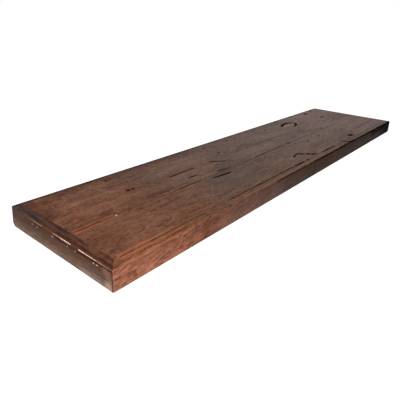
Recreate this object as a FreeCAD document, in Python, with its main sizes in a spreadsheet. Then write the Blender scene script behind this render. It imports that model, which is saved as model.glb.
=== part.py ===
"""Floating wall shelf of reclaimed boards on a hidden steel rod bracket.

The wall is the plane Y = 0 and the shelf runs out from it towards -Y. X runs along the shelf with
0 at its middle, and Z = 0 is the glue line between the two layers of planks. Sizes are millimetres.
"""

import FreeCAD
import Part
import Sketcher
import os

# Driving dimensions
SIZES = {
    "shelf_length": 1219.2,
    "shelf_depth": 285.75,
    "plank_thickness": 19.05,
    "border_width": 19.05,
    "top_front_width": 105.3,
    "top_middle_width": 58.6,
    "bottom_front_width": 82.6,
    "bottom_middle_width": 101.6,
    "seam_bevel": 0.6,
    "corner_rounding": 2.2,
    "top_rounding": 2.4,
    "bottom_rounding": 1.2,
    "heel_rounding": 10.5,
    "plate_end_inset": 76.2,
    "plate_height": 25.4,
    "plate_thickness": 6.35,
    "plate_corner": 6.35,
    "recess_clearance": 0.4,
    "recess_gap": 0.3,
    "rod_radius": 6.35,
    "rod_end_inset": 76.2,
    "rod_front_inset": 76.2,
    "rod_tip_chamfer": 1.5,
    "weld_leg": 2.2,
    "socket_clearance": 0.3,
    "socket_end_gap": 6.0,
    "screw_from_rod": 50.8,
    "screw_hole_radius": 3.6,
    "screw_head_radius": 6.8,
    "head_relief_clearance": 2.7,
    "head_relief_depth": 4.0,
    "brad_radius": 0.6,
    "brad_length": 38.1,
    "brad_head_radius": 1.1,
    "brad_head_height": 0.7,
    "brad_sink": 0.4,
    "brad_clearance": 0.05,
    "brad_rise": 11.2,
    "end_brad_back_inset": 74.7,
    "end_brad_front_inset": 15.4,
    "front_brad_end_inset": 84.6,
    "mitre_pin_length": 31.75,
    "mitre_pin_inset": 13.7,
    "mitre_pin_rise": 7.4,
    "cut_overrun": 5.0,
}

# How many there are of what repeats
ROD_COUNT = 4
LOWER_END_BRAD_COUNT = 4
FRONT_BRAD_COUNT = 8

# How far along their row the upper brads in an end board stand, as they were driven by eye
UPPER_END_BRAD_SHARES = (0.0, 0.048, 0.303, 0.425, 0.66, 0.92, 1.0)

# Where the shelf's main faces lie, worked out from the driving dimensions
END_X = "Sizes.shelf_length / 2"
INNER_END_X = "(Sizes.shelf_length / 2 - Sizes.border_width)"
FRONT_Y = "-Sizes.shelf_depth"
INNER_FRONT_Y = "(Sizes.border_width - Sizes.shelf_depth)"
PLATE_END_X = "(Sizes.shelf_length / 2 - Sizes.plate_end_inset)"
OUTER_ROD_X = "(Sizes.shelf_length / 2 - Sizes.plate_end_inset - Sizes.rod_end_inset)"
ROD_TIP_Y = "(Sizes.rod_front_inset - Sizes.shelf_depth)"
TOP_Z = "Sizes.plank_thickness"
BOTTOM_Z = "-Sizes.plank_thickness"
SOCKET_RADIUS = "Sizes.rod_radius + Sizes.socket_clearance"
BRAD_HOLE_RADIUS = "Sizes.brad_radius + Sizes.brad_clearance"
BRAD_HEAD_HOLE_RADIUS = "Sizes.brad_head_radius + Sizes.brad_clearance"
HEAD_RELIEF_RADIUS = "Sizes.screw_head_radius + Sizes.head_relief_clearance"

# How near two places count as the same one
TOUCHING = 1e-4

X_AXIS = FreeCAD.Vector(1, 0, 0)
Y_AXIS = FreeCAD.Vector(0, 1, 0)
UPRIGHT = FreeCAD.Rotation()
TOWARDS_FRONT = FreeCAD.Rotation(X_AXIS, 90)
TOWARDS_WALL = FreeCAD.Rotation(X_AXIS, -90)
TOWARDS_RIGHT = FreeCAD.Rotation(Y_AXIS, 90)
TOWARDS_LEFT = FreeCAD.Rotation(Y_AXIS, -90)

doc = FreeCAD.newDocument("wall_shelf")


def make_sheet():
    """Put the driving dimensions in the spreadsheet, one named cell each."""
    sheet = doc.addObject("Spreadsheet::Sheet", "Sizes")
    for row, (name, value) in enumerate(SIZES.items(), 1):
        sheet.set(f"A{row}", name)
        sheet.set(f"B{row}", str(value))
        sheet.setAlias(f"B{row}", name)
    doc.recompute()


def bind(feature, **expressions):
    """Tie properties of a feature to expressions in the sizes."""
    for name, expression in expressions.items():
        feature.setExpression(name, expression)
    return feature


def place(feature, x="0", y="0", z="0", turn=UPRIGHT):
    """Turn a feature and tie its place to expressions in the sizes."""
    feature.Placement = FreeCAD.Placement(FreeCAD.Vector(), turn)
    feature.setExpression("Placement.Base.x", x)
    feature.setExpression("Placement.Base.y", y)
    feature.setExpression("Placement.Base.z", z)
    return feature


def value_of(expression):
    """The number that an expression in the sizes stands for now."""
    return float(doc.getObject("Sizes").evalExpression(expression))


def new_sketch(body, name, plane):
    """A sketch on one of the body's own origin planes."""
    sketch = body.newObject("Sketcher::SketchObject", name)
    support = next(f for f in body.Origin.OriginFeatures if f.Role == plane)
    sketch.AttachmentSupport = [(support, "")]
    sketch.MapMode = "FlatFace"
    return sketch


def pin_point(sketch, edge, end, point):
    """Fix one end of a sketch edge at a point given by two expressions."""
    for kind, expression in zip(("DistanceX", "DistanceY"), point):
        number = sketch.addConstraint(
            Sketcher.Constraint(kind, -1, 1, edge, end, value_of(expression))
        )
        sketch.setExpression(f"Constraints[{number}]", expression)


def draw_outline(sketch, points):
    """Draw a closed outline of straight edges through points given as pairs of expressions."""
    corners = [FreeCAD.Vector(value_of(x), value_of(y), 0) for x, y in points]
    following = corners[1:] + corners[:1]
    for start, end in zip(corners, following):
        sketch.addGeometry(Part.LineSegment(start, end), False)
    count = len(points)
    for edge in range(count):
        sketch.addConstraint(Sketcher.Constraint("Coincident", edge, 2, (edge + 1) % count, 1))
    for edge, point in enumerate(points):
        pin_point(sketch, edge, 1, point)


def draw_circles(sketch, centres, radius):
    """Draw equal circles at centres given as pairs of expressions."""
    for number, (x, y) in enumerate(centres):
        centre = FreeCAD.Vector(value_of(x), value_of(y), 0)
        sketch.addGeometry(Part.Circle(centre, FreeCAD.Vector(0, 0, 1), value_of(radius)), False)
        pin_point(sketch, number, 3, (x, y))
        size = sketch.addConstraint(Sketcher.Constraint("Radius", number, value_of(radius)))
        sketch.setExpression(f"Constraints[{size}]", radius)


def edges_where(feature, wanted):
    """Names of the feature's edges whose every vertex meets the test."""
    return [
        f"Edge{number}"
        for number, edge in enumerate(feature.Shape.Edges, 1)
        if all(wanted(vertex.Point) for vertex in edge.Vertexes)
    ]


def dress(body, kind, base, edges, **expressions):
    """Round or bevel chosen edges of a body's last feature."""
    feature = body.newObject(kind, f"{body.Name}_{kind.split('::')[1].lower()}")
    feature.Base = (base, edges)
    bind(feature, **expressions)
    doc.recompute()
    return feature


def near(number, expression):
    """Whether a coordinate lies where an expression says."""
    return abs(number - value_of(expression)) < TOUCHING


def spread(shares, first, last):
    """Expressions for places that lie at shares of the way from a first to a last."""
    return [f"({first}) + ({last} - ({first})) * {share}" for share in shares]


def between(count, first, last):
    """Expressions for places spread evenly from a first to a last."""
    return spread([f"{number} / {count - 1}" for number in range(count)], first, last)


ROD_PLACES = between(ROD_COUNT, f"-{OUTER_ROD_X}", OUTER_ROD_X)
SCREW_PLACES = [f"{rod} {side} Sizes.screw_from_rod" for rod, side in zip(ROD_PLACES, "+-+-")]


# The planks of both layers


def make_plank(name, front, width, outer_z):
    """One plank, its two long outer edges eased, from the glue line out to its face."""
    body = doc.addObject("PartDesign::Body", name)
    place(body, y=front)
    profile = new_sketch(body, f"{name}_section", "YZ_Plane")
    sign = "-" if outer_z == BOTTOM_Z else ""
    shoulder = f"{sign}(Sizes.plank_thickness - Sizes.seam_bevel)"
    draw_outline(
        profile,
        [
            ("0", "0"),
            (width, "0"),
            (width, shoulder),
            (f"{width} - Sizes.seam_bevel", outer_z),
            ("Sizes.seam_bevel", outer_z),
            ("0", shoulder),
        ],
    )
    pad = body.newObject("PartDesign::Pad", f"{name}_pad")
    pad.Profile = profile
    pad.Midplane = True
    bind(pad, Length=f"{INNER_END_X} * 2")
    return body


def make_layer(layer, front_width, middle_width, outer_z):
    """The three planks of one layer, front to back. The back one takes up what is left."""
    widths = {
        "front": front_width,
        "middle": middle_width,
        "back": f"(-{INNER_FRONT_Y} - {front_width} - {middle_width})",
    }
    planks = {}
    front = INNER_FRONT_Y
    for place_name, width in widths.items():
        name = f"{layer}_plank_{place_name}"
        planks[name] = make_plank(f"{name}_blank", front, width, outer_z)
        front = f"{front} + {width}"
    return planks


# The mitred border


def make_board(name, outline):
    """One upright border board, as tall as both layers together."""
    body = doc.addObject("PartDesign::Body", name)
    plan = new_sketch(body, f"{name}_plan", "XY_Plane")
    draw_outline(plan, outline)
    pad = body.newObject("PartDesign::Pad", f"{name}_pad")
    pad.Profile = plan
    pad.Midplane = True
    bind(pad, Length="Sizes.plank_thickness * 2")
    return body


def make_border():
    """The front edge board, mitred at both ends, and the two end boards, mitred at the front."""
    boards = {
        "front_edge_board": [
            (f"-{END_X}", FRONT_Y),
            (END_X, FRONT_Y),
            (INNER_END_X, INNER_FRONT_Y),
            (f"-{INNER_END_X}", INNER_FRONT_Y),
        ]
    }
    for side, sign in (("left", "-"), ("right", "")):
        boards[f"{side}_end_board"] = [
            (f"{sign}{END_X}", FRONT_Y),
            (f"{sign}{INNER_END_X}", INNER_FRONT_Y),
            (f"{sign}{INNER_END_X}", "0"),
            (f"{sign}{END_X}", "0"),
        ]
    return {name: make_board(f"{name}_blank", outline) for name, outline in boards.items()}


def make_sanded_outline():
    """The shelf's outer form, its corners and edges rounded by hand once the border was on."""
    body = doc.addObject("PartDesign::Body", "sanded_outline")
    plan = new_sketch(body, "sanded_plan", "XY_Plane")
    draw_outline(
        plan,
        [(f"-{END_X}", FRONT_Y), (END_X, FRONT_Y), (END_X, "0"), (f"-{END_X}", "0")],
    )
    pad = body.newObject("PartDesign::Pad", "sanded_pad")
    pad.Profile = plan
    pad.Midplane = True
    bind(pad, Length="Sizes.plank_thickness * 2")
    doc.recompute()

    heel = edges_where(pad, lambda p: near(p.y, "0") and near(p.z, BOTTOM_Z))
    rounded = dress(body, "PartDesign::Fillet", pad, heel, Radius="Sizes.heel_rounding")
    corners = edges_where(rounded, lambda p: near(p.y, FRONT_Y) and near(abs(p.x), END_X))
    upright = [
        name
        for name in corners
        if abs(rounded.Shape.getElement(name).tangentAt(0).z) == 1
    ]
    rounded = dress(body, "PartDesign::Fillet", rounded, upright, Radius="Sizes.corner_rounding")
    top = outer_edges(rounded, TOP_Z)
    rounded = dress(body, "PartDesign::Fillet", rounded, top, Radius="Sizes.top_rounding")
    bottom = outer_edges(rounded, BOTTOM_Z)
    dress(body, "PartDesign::Fillet", rounded, bottom, Radius="Sizes.bottom_rounding")
    return body


def outer_edges(feature, level):
    """The edges round the front and both ends at one level, and none that run along the wall."""

    def on_outline(middle):
        end = value_of(f"{END_X} - Sizes.corner_rounding")
        front = value_of(f"{FRONT_Y} + Sizes.corner_rounding")
        return abs(middle.x) > end or middle.y < front

    names = edges_where(feature, lambda p: near(p.z, level))
    return [name for name in names if on_outline(feature.Shape.getElement(name).CenterOfMass)]


# Brads


def make_peg(name, radius, length, **where):
    """One round peg, its axis turned from upright and its foot placed."""
    peg = bind(doc.addObject("Part::Cylinder", name), Radius=radius, Height=length)
    return place(peg, **where)


def gather(name, pieces):
    """Several separate solids as one group."""
    group = doc.addObject("Part::Compound", name)
    group.Links = pieces
    return group


def make_brads(name, length, heads, turn, inward):
    """A group of brads sunk below the face they are driven into, and the holes they fill.

    heads are the places on the face, and inward is the direction each one is driven, as the name of
    the axis and its sign.
    """
    brads = []
    holes = []
    axis, sign = inward
    for number, head in enumerate(heads, 1):
        sunk = dict(head)
        sunk[axis] = f"{head[axis]} {sign} Sizes.brad_sink"
        proud = dict(head)
        proud[axis] = f"{head[axis]} {'-' if sign == '+' else '+'} Sizes.cut_overrun"
        shank = make_peg(f"{name}_shank_{number}", "Sizes.brad_radius", length, turn=turn, **sunk)
        cap = make_peg(
            f"{name}_head_{number}",
            "Sizes.brad_head_radius",
            "Sizes.brad_head_height",
            turn=turn,
            **sunk,
        )
        brad = doc.addObject("Part::Fuse", f"{name}_brad_{number}")
        brad.Base = shank
        brad.Tool = cap
        brads.append(brad)
        holes.append(
            make_peg(
                f"{name}_bore_{number}",
                BRAD_HOLE_RADIUS,
                f"Sizes.brad_sink + {length} + Sizes.brad_clearance",
                turn=turn,
                **head,
            )
        )
        holes.append(
            make_peg(
                f"{name}_head_bore_{number}",
                BRAD_HEAD_HOLE_RADIUS,
                "Sizes.cut_overrun + Sizes.brad_sink + Sizes.brad_head_height + Sizes.brad_clearance",
                turn=turn,
                **proud,
            )
        )
    return gather(name, brads), gather(f"{name}_bores", holes)


def make_all_brads():
    """Every group of brads, by name, and the bores for them."""
    rises = ("Sizes.brad_rise", "-Sizes.brad_rise")
    pin_rises = ("Sizes.mitre_pin_rise", "-Sizes.mitre_pin_rise")
    first_y = f"{INNER_FRONT_Y} + Sizes.end_brad_front_inset"
    last_y = "-Sizes.end_brad_back_inset"
    upper_row = spread(UPPER_END_BRAD_SHARES, first_y, last_y)
    lower_row = between(LOWER_END_BRAD_COUNT, first_y, last_y)
    along_front = between(
        FRONT_BRAD_COUNT,
        f"Sizes.front_brad_end_inset - {END_X}",
        f"({END_X} - Sizes.front_brad_end_inset)",
    )
    pin_y = f"{FRONT_Y} + Sizes.mitre_pin_inset"
    groups = {}
    bores = []
    for side, face, turn, inward in (
        ("left", f"-{END_X}", TOWARDS_RIGHT, ("x", "+")),
        ("right", END_X, TOWARDS_LEFT, ("x", "-")),
    ):
        rows = zip(rises, (upper_row, lower_row))
        heads = [{"x": face, "y": y, "z": z} for z, row in rows for y in row]
        name = f"{side}_end_brads"
        groups[name], holes = make_brads(name, "Sizes.brad_length", heads, turn, inward)
        bores.append(holes)
        heads = [{"x": face, "y": pin_y, "z": z} for z in pin_rises]
        name = f"{side}_mitre_pins"
        groups[name], holes = make_brads(name, "Sizes.mitre_pin_length", heads, turn, inward)
        bores.append(holes)
    heads = [{"x": x, "y": FRONT_Y, "z": z} for z in rises for x in along_front]
    name = "front_edge_brads"
    groups[name], holes = make_brads(name, "Sizes.brad_length", heads, TOWARDS_WALL, ("y", "+"))
    bores.append(holes)
    return groups, bores


# The hidden bracket


def make_bar(name, growth, thickness):
    """A flat bar with rounded corners, its back on the wall plane, grown all round by a margin."""
    body = doc.addObject("PartDesign::Body", name)
    plan = new_sketch(body, f"{name}_plan", "XZ_Plane")
    half_length = f"({PLATE_END_X} + {growth})"
    half_height = f"(Sizes.plate_height / 2 + {growth})"
    draw_outline(
        plan,
        [
            (f"-{half_length}", f"-{half_height}"),
            (half_length, f"-{half_height}"),
            (half_length, half_height),
            (f"-{half_length}", half_height),
        ],
    )
    pad = body.newObject("PartDesign::Pad", f"{name}_pad")
    pad.Profile = plan
    bind(pad, Length=thickness)
    doc.recompute()

    def at_corner(point):
        return near(abs(point.x), half_length) and near(abs(point.z), half_height)

    corners = [
        name
        for name in edges_where(pad, at_corner)
        if abs(pad.Shape.getElement(name).tangentAt(0).y) == 1
    ]
    dress(body, "PartDesign::Fillet", pad, corners, Radius=f"Sizes.plate_corner + {growth}")
    return body


def drill(body, name, places, diameter, cut_diameter, from_front):
    """A row of countersunk holes through the plate, sunk from its front or from its back."""
    centres = new_sketch(body, f"{name}_centres", "XZ_Plane")
    draw_circles(centres, [(x, "0") for x in places], f"{diameter} / 2")
    if from_front:
        bind(centres, **{"AttachmentOffset.Base.z": "Sizes.plate_thickness"})
    doc.recompute()
    hole = body.newObject("PartDesign::Hole", name)
    hole.Profile = centres
    hole.DepthType = "ThroughAll"
    hole.Reversed = not from_front
    hole.HoleCutType = "Countersink"
    hole.HoleCutCustomValues = True
    hole.HoleCutCountersinkAngle = 90
    bind(hole, Diameter=diameter, HoleCutDiameter=cut_diameter)
    doc.recompute()
    return hole


def make_bracket_plate():
    """The flat bar, countersunk in front for wall screws and behind for the rods' plug welds."""
    body = make_bar("bracket_plate", "0", "Sizes.plate_thickness")
    drill(
        body,
        "screw_holes",
        SCREW_PLACES,
        "Sizes.screw_hole_radius * 2",
        "Sizes.screw_head_radius * 2",
        from_front=True,
    )
    drill(
        body,
        "rod_holes",
        ROD_PLACES,
        "Sizes.rod_radius * 2",
        "(Sizes.rod_radius + Sizes.weld_leg) * 2",
        from_front=False,
    )
    return body


def make_rod(number, x):
    """One round support rod, its tip chamfered, its root stopping under its plug weld."""
    body = doc.addObject("PartDesign::Body", f"support_rod_{number}")
    place(body, x=x, y="-Sizes.weld_leg")
    profile = new_sketch(body, f"rod_profile_{number}", "XY_Plane")
    tip = f"({ROD_TIP_Y} + Sizes.weld_leg)"
    draw_outline(
        profile,
        [
            ("0", "0"),
            ("0", tip),
            ("Sizes.rod_radius - Sizes.rod_tip_chamfer", tip),
            ("Sizes.rod_radius", f"{tip} + Sizes.rod_tip_chamfer"),
            ("Sizes.rod_radius", "0"),
        ],
    )
    turned = body.newObject("PartDesign::Revolution", f"rod_turned_{number}")
    turned.Profile = profile
    turned.ReferenceAxis = (profile, ["V_Axis"])
    turned.Angle = 360
    return body


def make_rod_welds():
    """The plug welds that fill the plate's rear countersinks, ground flush with its back."""
    welds = []
    for number, x in enumerate(ROD_PLACES, 1):
        weld = doc.addObject("Part::Cone", f"rod_weld_{number}")
        bind(
            weld,
            Radius1="Sizes.rod_radius + Sizes.weld_leg",
            Radius2="Sizes.rod_radius",
            Height="Sizes.weld_leg",
        )
        welds.append(place(weld, x=x, turn=TOWARDS_FRONT))
    return gather("rod_welds", welds)


# What is cut out of the slab once it is glued up


def make_sockets():
    """The bores on the glue line that the rods slide into."""
    depth = f"Sizes.socket_end_gap - {ROD_TIP_Y}"
    sockets = [
        make_peg(
            f"socket_{number}",
            SOCKET_RADIUS,
            f"Sizes.cut_overrun + {depth}",
            x=x,
            y="Sizes.cut_overrun",
            turn=TOWARDS_FRONT,
        )
        for number, x in enumerate(ROD_PLACES, 1)
    ]
    return gather("sockets", sockets)


def make_head_reliefs():
    """The shallow pockets behind the wall screws' heads."""
    depth = "Sizes.plate_thickness + Sizes.recess_gap + Sizes.head_relief_depth"
    reliefs = [
        make_peg(
            f"head_relief_{number}",
            HEAD_RELIEF_RADIUS,
            f"Sizes.cut_overrun + {depth}",
            x=x,
            y="Sizes.cut_overrun",
            turn=TOWARDS_FRONT,
        )
        for number, x in enumerate(SCREW_PLACES, 1)
    ]
    return gather("head_reliefs", reliefs)


def make_plate_recess():
    """The rebate in the shelf's back that the bracket plate sits in."""
    return make_bar("plate_recess", "Sizes.recess_clearance", "Sizes.plate_thickness + Sizes.recess_gap")


def cut(name, base, tool):
    """One sub-part as its blank less what is cut out of it."""
    result = doc.addObject("Part::Cut", name)
    result.Base = base
    result.Tool = tool
    return result


def make_shelf():
    """Every wooden piece and its brads, by node name."""
    brads, brad_bores = make_all_brads()
    cutters = gather(
        "cutters", [make_sockets(), make_head_reliefs(), make_plate_recess(), *brad_bores]
    )
    outline = make_sanded_outline()
    pieces = {}
    for name, blank in make_border().items():
        sanded = doc.addObject("Part::Common", f"{name}_sanded")
        sanded.Base = blank
        sanded.Tool = outline
        pieces[name] = cut(name, sanded, cutters)
    planks = make_layer("top", "Sizes.top_front_width", "Sizes.top_middle_width", TOP_Z)
    planks |= make_layer("bottom", "Sizes.bottom_front_width", "Sizes.bottom_middle_width", BOTTOM_Z)
    for name, blank in planks.items():
        pieces[name] = cut(name, blank, cutters)
    return pieces | brads


def make_bracket():
    """The plate, its rods and their welds, by node name."""
    pieces = {"bracket_plate": make_bracket_plate()}
    for number, x in enumerate(ROD_PLACES, 1):
        pieces[f"support_rod_{number}"] = make_rod(number, x)
    pieces["rod_welds"] = make_rod_welds()
    return pieces


def check(pieces):
    """Stop if any feature failed or any sub-part isn't a sound solid."""
    for feature in doc.Objects:
        if "Invalid" in feature.State or "Error" in feature.State:
            raise RuntimeError(f"{feature.Label} failed: {feature.State}")
    for name, piece in pieces.items():
        if piece.Shape.isNull() or not piece.Shape.isValid() or not piece.Shape.Solids:
            raise RuntimeError(f"{name} isn't a sound solid")


def main():
    """Build the shelf and write one STEP file for each sub-part."""
    make_sheet()
    pieces = make_shelf() | make_bracket()
    doc.recompute()
    check(pieces)
    os.makedirs("parts", exist_ok=True)
    for name, piece in pieces.items():
        piece.Label = name
        piece.Shape.exportStep(f"parts/{name}.step")
        print(name, len(piece.Shape.Solids), round(piece.Shape.Volume))


main()
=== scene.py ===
"""Wall shelf of dark-stained reclaimed boards, mitred border and hidden steel rod bracket."""

import logging
import math
import random
from contextlib import contextmanager
from dataclasses import dataclass, field, replace
from enum import Enum
from typing import Callable, Iterator, Sequence

import bmesh
import bpy
from mathutils import Matrix, Vector


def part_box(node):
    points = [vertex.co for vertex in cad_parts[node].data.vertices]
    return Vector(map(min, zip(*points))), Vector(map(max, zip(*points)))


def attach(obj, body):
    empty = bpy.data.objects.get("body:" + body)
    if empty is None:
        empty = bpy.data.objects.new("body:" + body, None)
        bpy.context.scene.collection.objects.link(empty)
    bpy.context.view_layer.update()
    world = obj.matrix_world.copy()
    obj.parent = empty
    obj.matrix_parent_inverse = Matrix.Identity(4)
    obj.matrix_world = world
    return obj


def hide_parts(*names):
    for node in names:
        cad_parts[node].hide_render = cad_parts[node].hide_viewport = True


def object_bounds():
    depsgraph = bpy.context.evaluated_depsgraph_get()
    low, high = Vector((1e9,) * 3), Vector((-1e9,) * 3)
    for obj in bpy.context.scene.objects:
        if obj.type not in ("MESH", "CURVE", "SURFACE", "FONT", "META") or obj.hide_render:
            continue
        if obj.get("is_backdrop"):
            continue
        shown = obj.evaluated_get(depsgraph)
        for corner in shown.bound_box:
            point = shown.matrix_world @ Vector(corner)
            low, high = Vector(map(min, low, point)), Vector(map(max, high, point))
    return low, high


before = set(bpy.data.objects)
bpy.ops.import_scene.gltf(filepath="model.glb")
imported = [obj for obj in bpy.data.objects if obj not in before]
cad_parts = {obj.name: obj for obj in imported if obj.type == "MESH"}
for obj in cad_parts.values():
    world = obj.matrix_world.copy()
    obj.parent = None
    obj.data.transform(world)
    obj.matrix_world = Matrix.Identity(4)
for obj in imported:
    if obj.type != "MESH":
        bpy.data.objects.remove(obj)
CAD_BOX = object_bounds()

log = logging.getLogger("wall_shelf")

MM = 0.001
EXACT = 1e-6  # metres within which two places are the same
TOUCHING = 1e-5  # metres within which a place lies on a level
CLEAR = 0.01  # metres, enough to tell a long edge from a rounding
FAR = 2.0  # metres, well past the shelf

Colour = tuple[float, float, float]
Place = tuple[float, float, float]
Spot = tuple[float, ...]
EdgeTest = Callable[[Vector, Vector], bool]


class Grain(Enum):
    """Which way a board's fibres run, as its turn from the X axis."""

    ALONG = 0.0
    ACROSS = math.pi / 2


class Side(Enum):
    """One end of the shelf, as the sign of its X."""

    LEFT = -1
    RIGHT = 1


class Layer(Enum):
    """One layer of planks, as the sign of its Z."""

    TOP = 1
    BOTTOM = -1


@dataclass(frozen=True)
class ShelfSizes:
    """The shelf's main sizes, in metres."""

    length: float = 1.2192
    depth: float = 0.28575
    layer: float = 0.01905
    border: float = 0.01905

    def at(self, spot: Spot) -> Vector:
        """A place on the top, or below it.

        Args:
            spot: Millimetres from the near left corner: along the shelf, back from its front,
                and down from its top where there is a third number.

        Returns:
            The place in the shared frame, in metres.
        """
        along, back, down = (*spot, 0.0)[:3]
        return Vector(
            (along * MM - self.length / 2, back * MM - self.depth, self.layer - down * MM)
        )


SIZES = ShelfSizes()
END_X = SIZES.length / 2


# Bench tools: what shapes a mesh


def clear_choice() -> None:
    """Let go of every object, so that the next operator works on its own."""
    bpy.ops.object.select_all(action="DESELECT")


def take(piece: bpy.types.Object) -> None:
    """Make one object the only one selected, and the active one.

    Args:
        piece: The object.
    """
    clear_choice()
    piece.select_set(True)
    bpy.context.view_layer.objects.active = piece


def settle(piece: bpy.types.Object, name: str) -> bpy.types.Object:
    """Name a piece and move its place, turn and scale into its mesh.

    Args:
        piece: A new object.
        name: The name for the object and its mesh.

    Returns:
        The same object.
    """
    take(piece)
    piece.name = piece.data.name = name
    bpy.ops.object.transform_apply(location=True, rotation=True, scale=True)
    return piece


def block(name: str, low: Sequence[float], high: Sequence[float]) -> bpy.types.Object:
    """A squared block between two corners.

    Args:
        name: The block's name.
        low: Its lowest corner.
        high: Its highest corner.

    Returns:
        The block.
    """
    clear_choice()
    centre = [(a + b) / 2 for a, b in zip(low, high)]
    size = [b - a for a, b in zip(low, high)]
    bpy.ops.mesh.primitive_cube_add(size=1, location=centre, scale=size)
    return settle(bpy.context.object, name)


@contextmanager
def editing(piece: bpy.types.Object) -> Iterator[None]:
    """Open a piece in edit mode by edges, with nothing picked, and close it after.

    Args:
        piece: The piece to edit.

    Yields:
        Nothing, while the piece is open.
    """
    take(piece)
    bpy.ops.object.mode_set(mode="EDIT")
    bpy.ops.mesh.select_mode(type="EDGE")
    bpy.ops.mesh.select_all(action="DESELECT")
    yield
    bpy.ops.object.mode_set(mode="OBJECT")


def pick_edges(piece: bpy.types.Object, wanted: EdgeTest) -> int:
    """Pick the edges of a piece in edit mode whose two ends meet a test.

    Args:
        piece: The piece being edited.
        wanted: Whether an edge between two places is picked.

    Returns:
        How many were picked.
    """
    form = bmesh.from_edit_mesh(piece.data)
    bpy.ops.mesh.select_all(action="DESELECT")
    count = 0
    for edge in form.edges:
        if wanted(edge.verts[0].co, edge.verts[1].co):
            edge.select_set(True)
            count += 1
    bmesh.update_edit_mesh(piece.data)
    return count


def lies_on(**levels: float) -> EdgeTest:
    """A test for edges that lie on a level of an axis, or of two.

    Args:
        levels: The level on each axis, by the axis's letter.

    Returns:
        The test.
    """

    def test(start: Vector, end: Vector) -> bool:
        """Whether both ends of an edge are on the levels."""
        return all(
            abs(getattr(place, axis) - level) < TOUCHING
            for axis, level in levels.items()
            for place in (start, end)
        )

    return test


def crosscut(piece: bpy.types.Object, axis: int, spacing: float) -> None:
    """Divide a piece's long edges, so that it has a section at every spacing along one axis.

    Args:
        piece: The piece to divide.
        axis: The axis that the long edges run along.
        spacing: The length between sections, in metres.
    """
    places = [corner[axis] for corner in piece.bound_box]
    cuts = max(1, round((max(places) - min(places)) / spacing))
    straight, long = 0.9, 1.5

    def wanted(start: Vector, end: Vector) -> bool:
        """Whether an edge is long and runs along the axis."""
        span = end - start
        return abs(span[axis]) > straight * span.length > straight * long * spacing

    with editing(piece):
        pick_edges(piece, wanted)
        bpy.ops.mesh.subdivide(number_cuts=cuts)


def ease(
    piece: bpy.types.Object, wanted: EdgeTest, size: float, segments: int, fullness: float = 0.5
) -> None:
    """Round the edges of a piece that meet a test.

    Args:
        piece: The piece to round.
        wanted: Which edges, by their two ends.
        size: The rounding, in metres.
        segments: How many facets each rounding has.
        fullness: A quarter for a flat chamfer, a half for a round arris.
    """
    with editing(piece):
        if pick_edges(piece, wanted):
            bpy.ops.mesh.bevel(
                offset=size, offset_type="OFFSET", segments=segments, profile=fullness
            )


def saw(piece: bpy.types.Object, place: Vector, away: Vector) -> None:
    """Cut a piece on a plane and drop the part on the plane's outer side.

    Args:
        piece: The piece to saw.
        place: A place on the plane.
        away: The plane's normal, towards the offcut.
    """
    with editing(piece):
        bpy.ops.mesh.select_all(action="SELECT")
        bpy.ops.mesh.bisect(plane_co=place, plane_no=away, use_fill=True, clear_outer=True)


def apply(piece: bpy.types.Object, modifier: bpy.types.Modifier) -> None:
    """Make a modifier part of the piece's mesh."""
    take(piece)
    bpy.ops.object.modifier_apply(modifier=modifier.name)


def combine(piece: bpy.types.Object, other: bpy.types.Object, operation: str) -> None:
    """Apply a boolean of a piece with another shape.

    Args:
        piece: The piece that changes.
        other: The other shape.
        operation: DIFFERENCE or INTERSECT.
    """
    modifier = piece.modifiers.new("combine", "BOOLEAN")
    modifier.operation = operation
    modifier.solver = "MANIFOLD"
    modifier.object = other
    apply(piece, modifier)


def erode(
    piece: bpy.types.Object, worn: Callable[[Vector], bool], grain_size: float, depth: float
) -> None:
    """Wear a piece down unevenly.

    Args:
        piece: The piece to wear.
        worn: Whether a vertex is worn, by its place.
        grain_size: The size of the unevenness, in metres.
        depth: How far it reaches, in metres.
    """
    group = piece.vertex_groups.new(name="worn")
    for vertex in piece.data.vertices:
        if worn(vertex.co):
            group.add([vertex.index], 1.0, "REPLACE")
    pattern = bpy.data.textures.new("wear", "CLOUDS")
    pattern.noise_scale = grain_size
    pattern.noise_depth = 2
    modifier = piece.modifiers.new("wear", "DISPLACE")
    modifier.texture = pattern
    modifier.texture_coords = "LOCAL"
    modifier.vertex_group = group.name
    modifier.strength = depth
    modifier.mid_level = 1.0
    apply(piece, modifier)
    piece.vertex_groups.clear()


def boxes_meet(first: bpy.types.Object, second: bpy.types.Object) -> bool:
    """Whether the boxes of two shapes overlap.

    Args:
        first: One shape.
        second: The other shape.

    Returns:
        True where they share room on every axis.
    """
    for axis in range(3):
        one = [corner[axis] for corner in first.bound_box]
        other = [corner[axis] for corner in second.bound_box]
        if min(one) > max(other) or min(other) > max(one):
            return False
    return True


def join(name: str, pieces: Sequence[bpy.types.Object]) -> bpy.types.Object:
    """Several shapes as one object.

    Args:
        name: The name for the joined object.
        pieces: The shapes.

    Returns:
        The joined object.
    """
    take(pieces[0])
    for piece in pieces:
        piece.select_set(True)
    bpy.ops.object.join()
    return settle(bpy.context.object, name)


def peg(
    name: str, start: Vector, end: Vector, radius: float, sides: int = 24
) -> bpy.types.Object:
    """A round peg between two places.

    Args:
        name: The peg's name.
        start: The middle of its first end.
        end: The middle of its other end.
        radius: Its radius, in metres.
        sides: How many sides it has.

    Returns:
        The peg.
    """
    clear_choice()
    run = end - start
    bpy.ops.mesh.primitive_cylinder_add(
        vertices=sides,
        radius=radius,
        depth=run.length,
        location=(start + end) / 2,
        rotation=run.to_track_quat("Z", "Y").to_euler(),
    )
    return settle(bpy.context.object, name)


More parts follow.
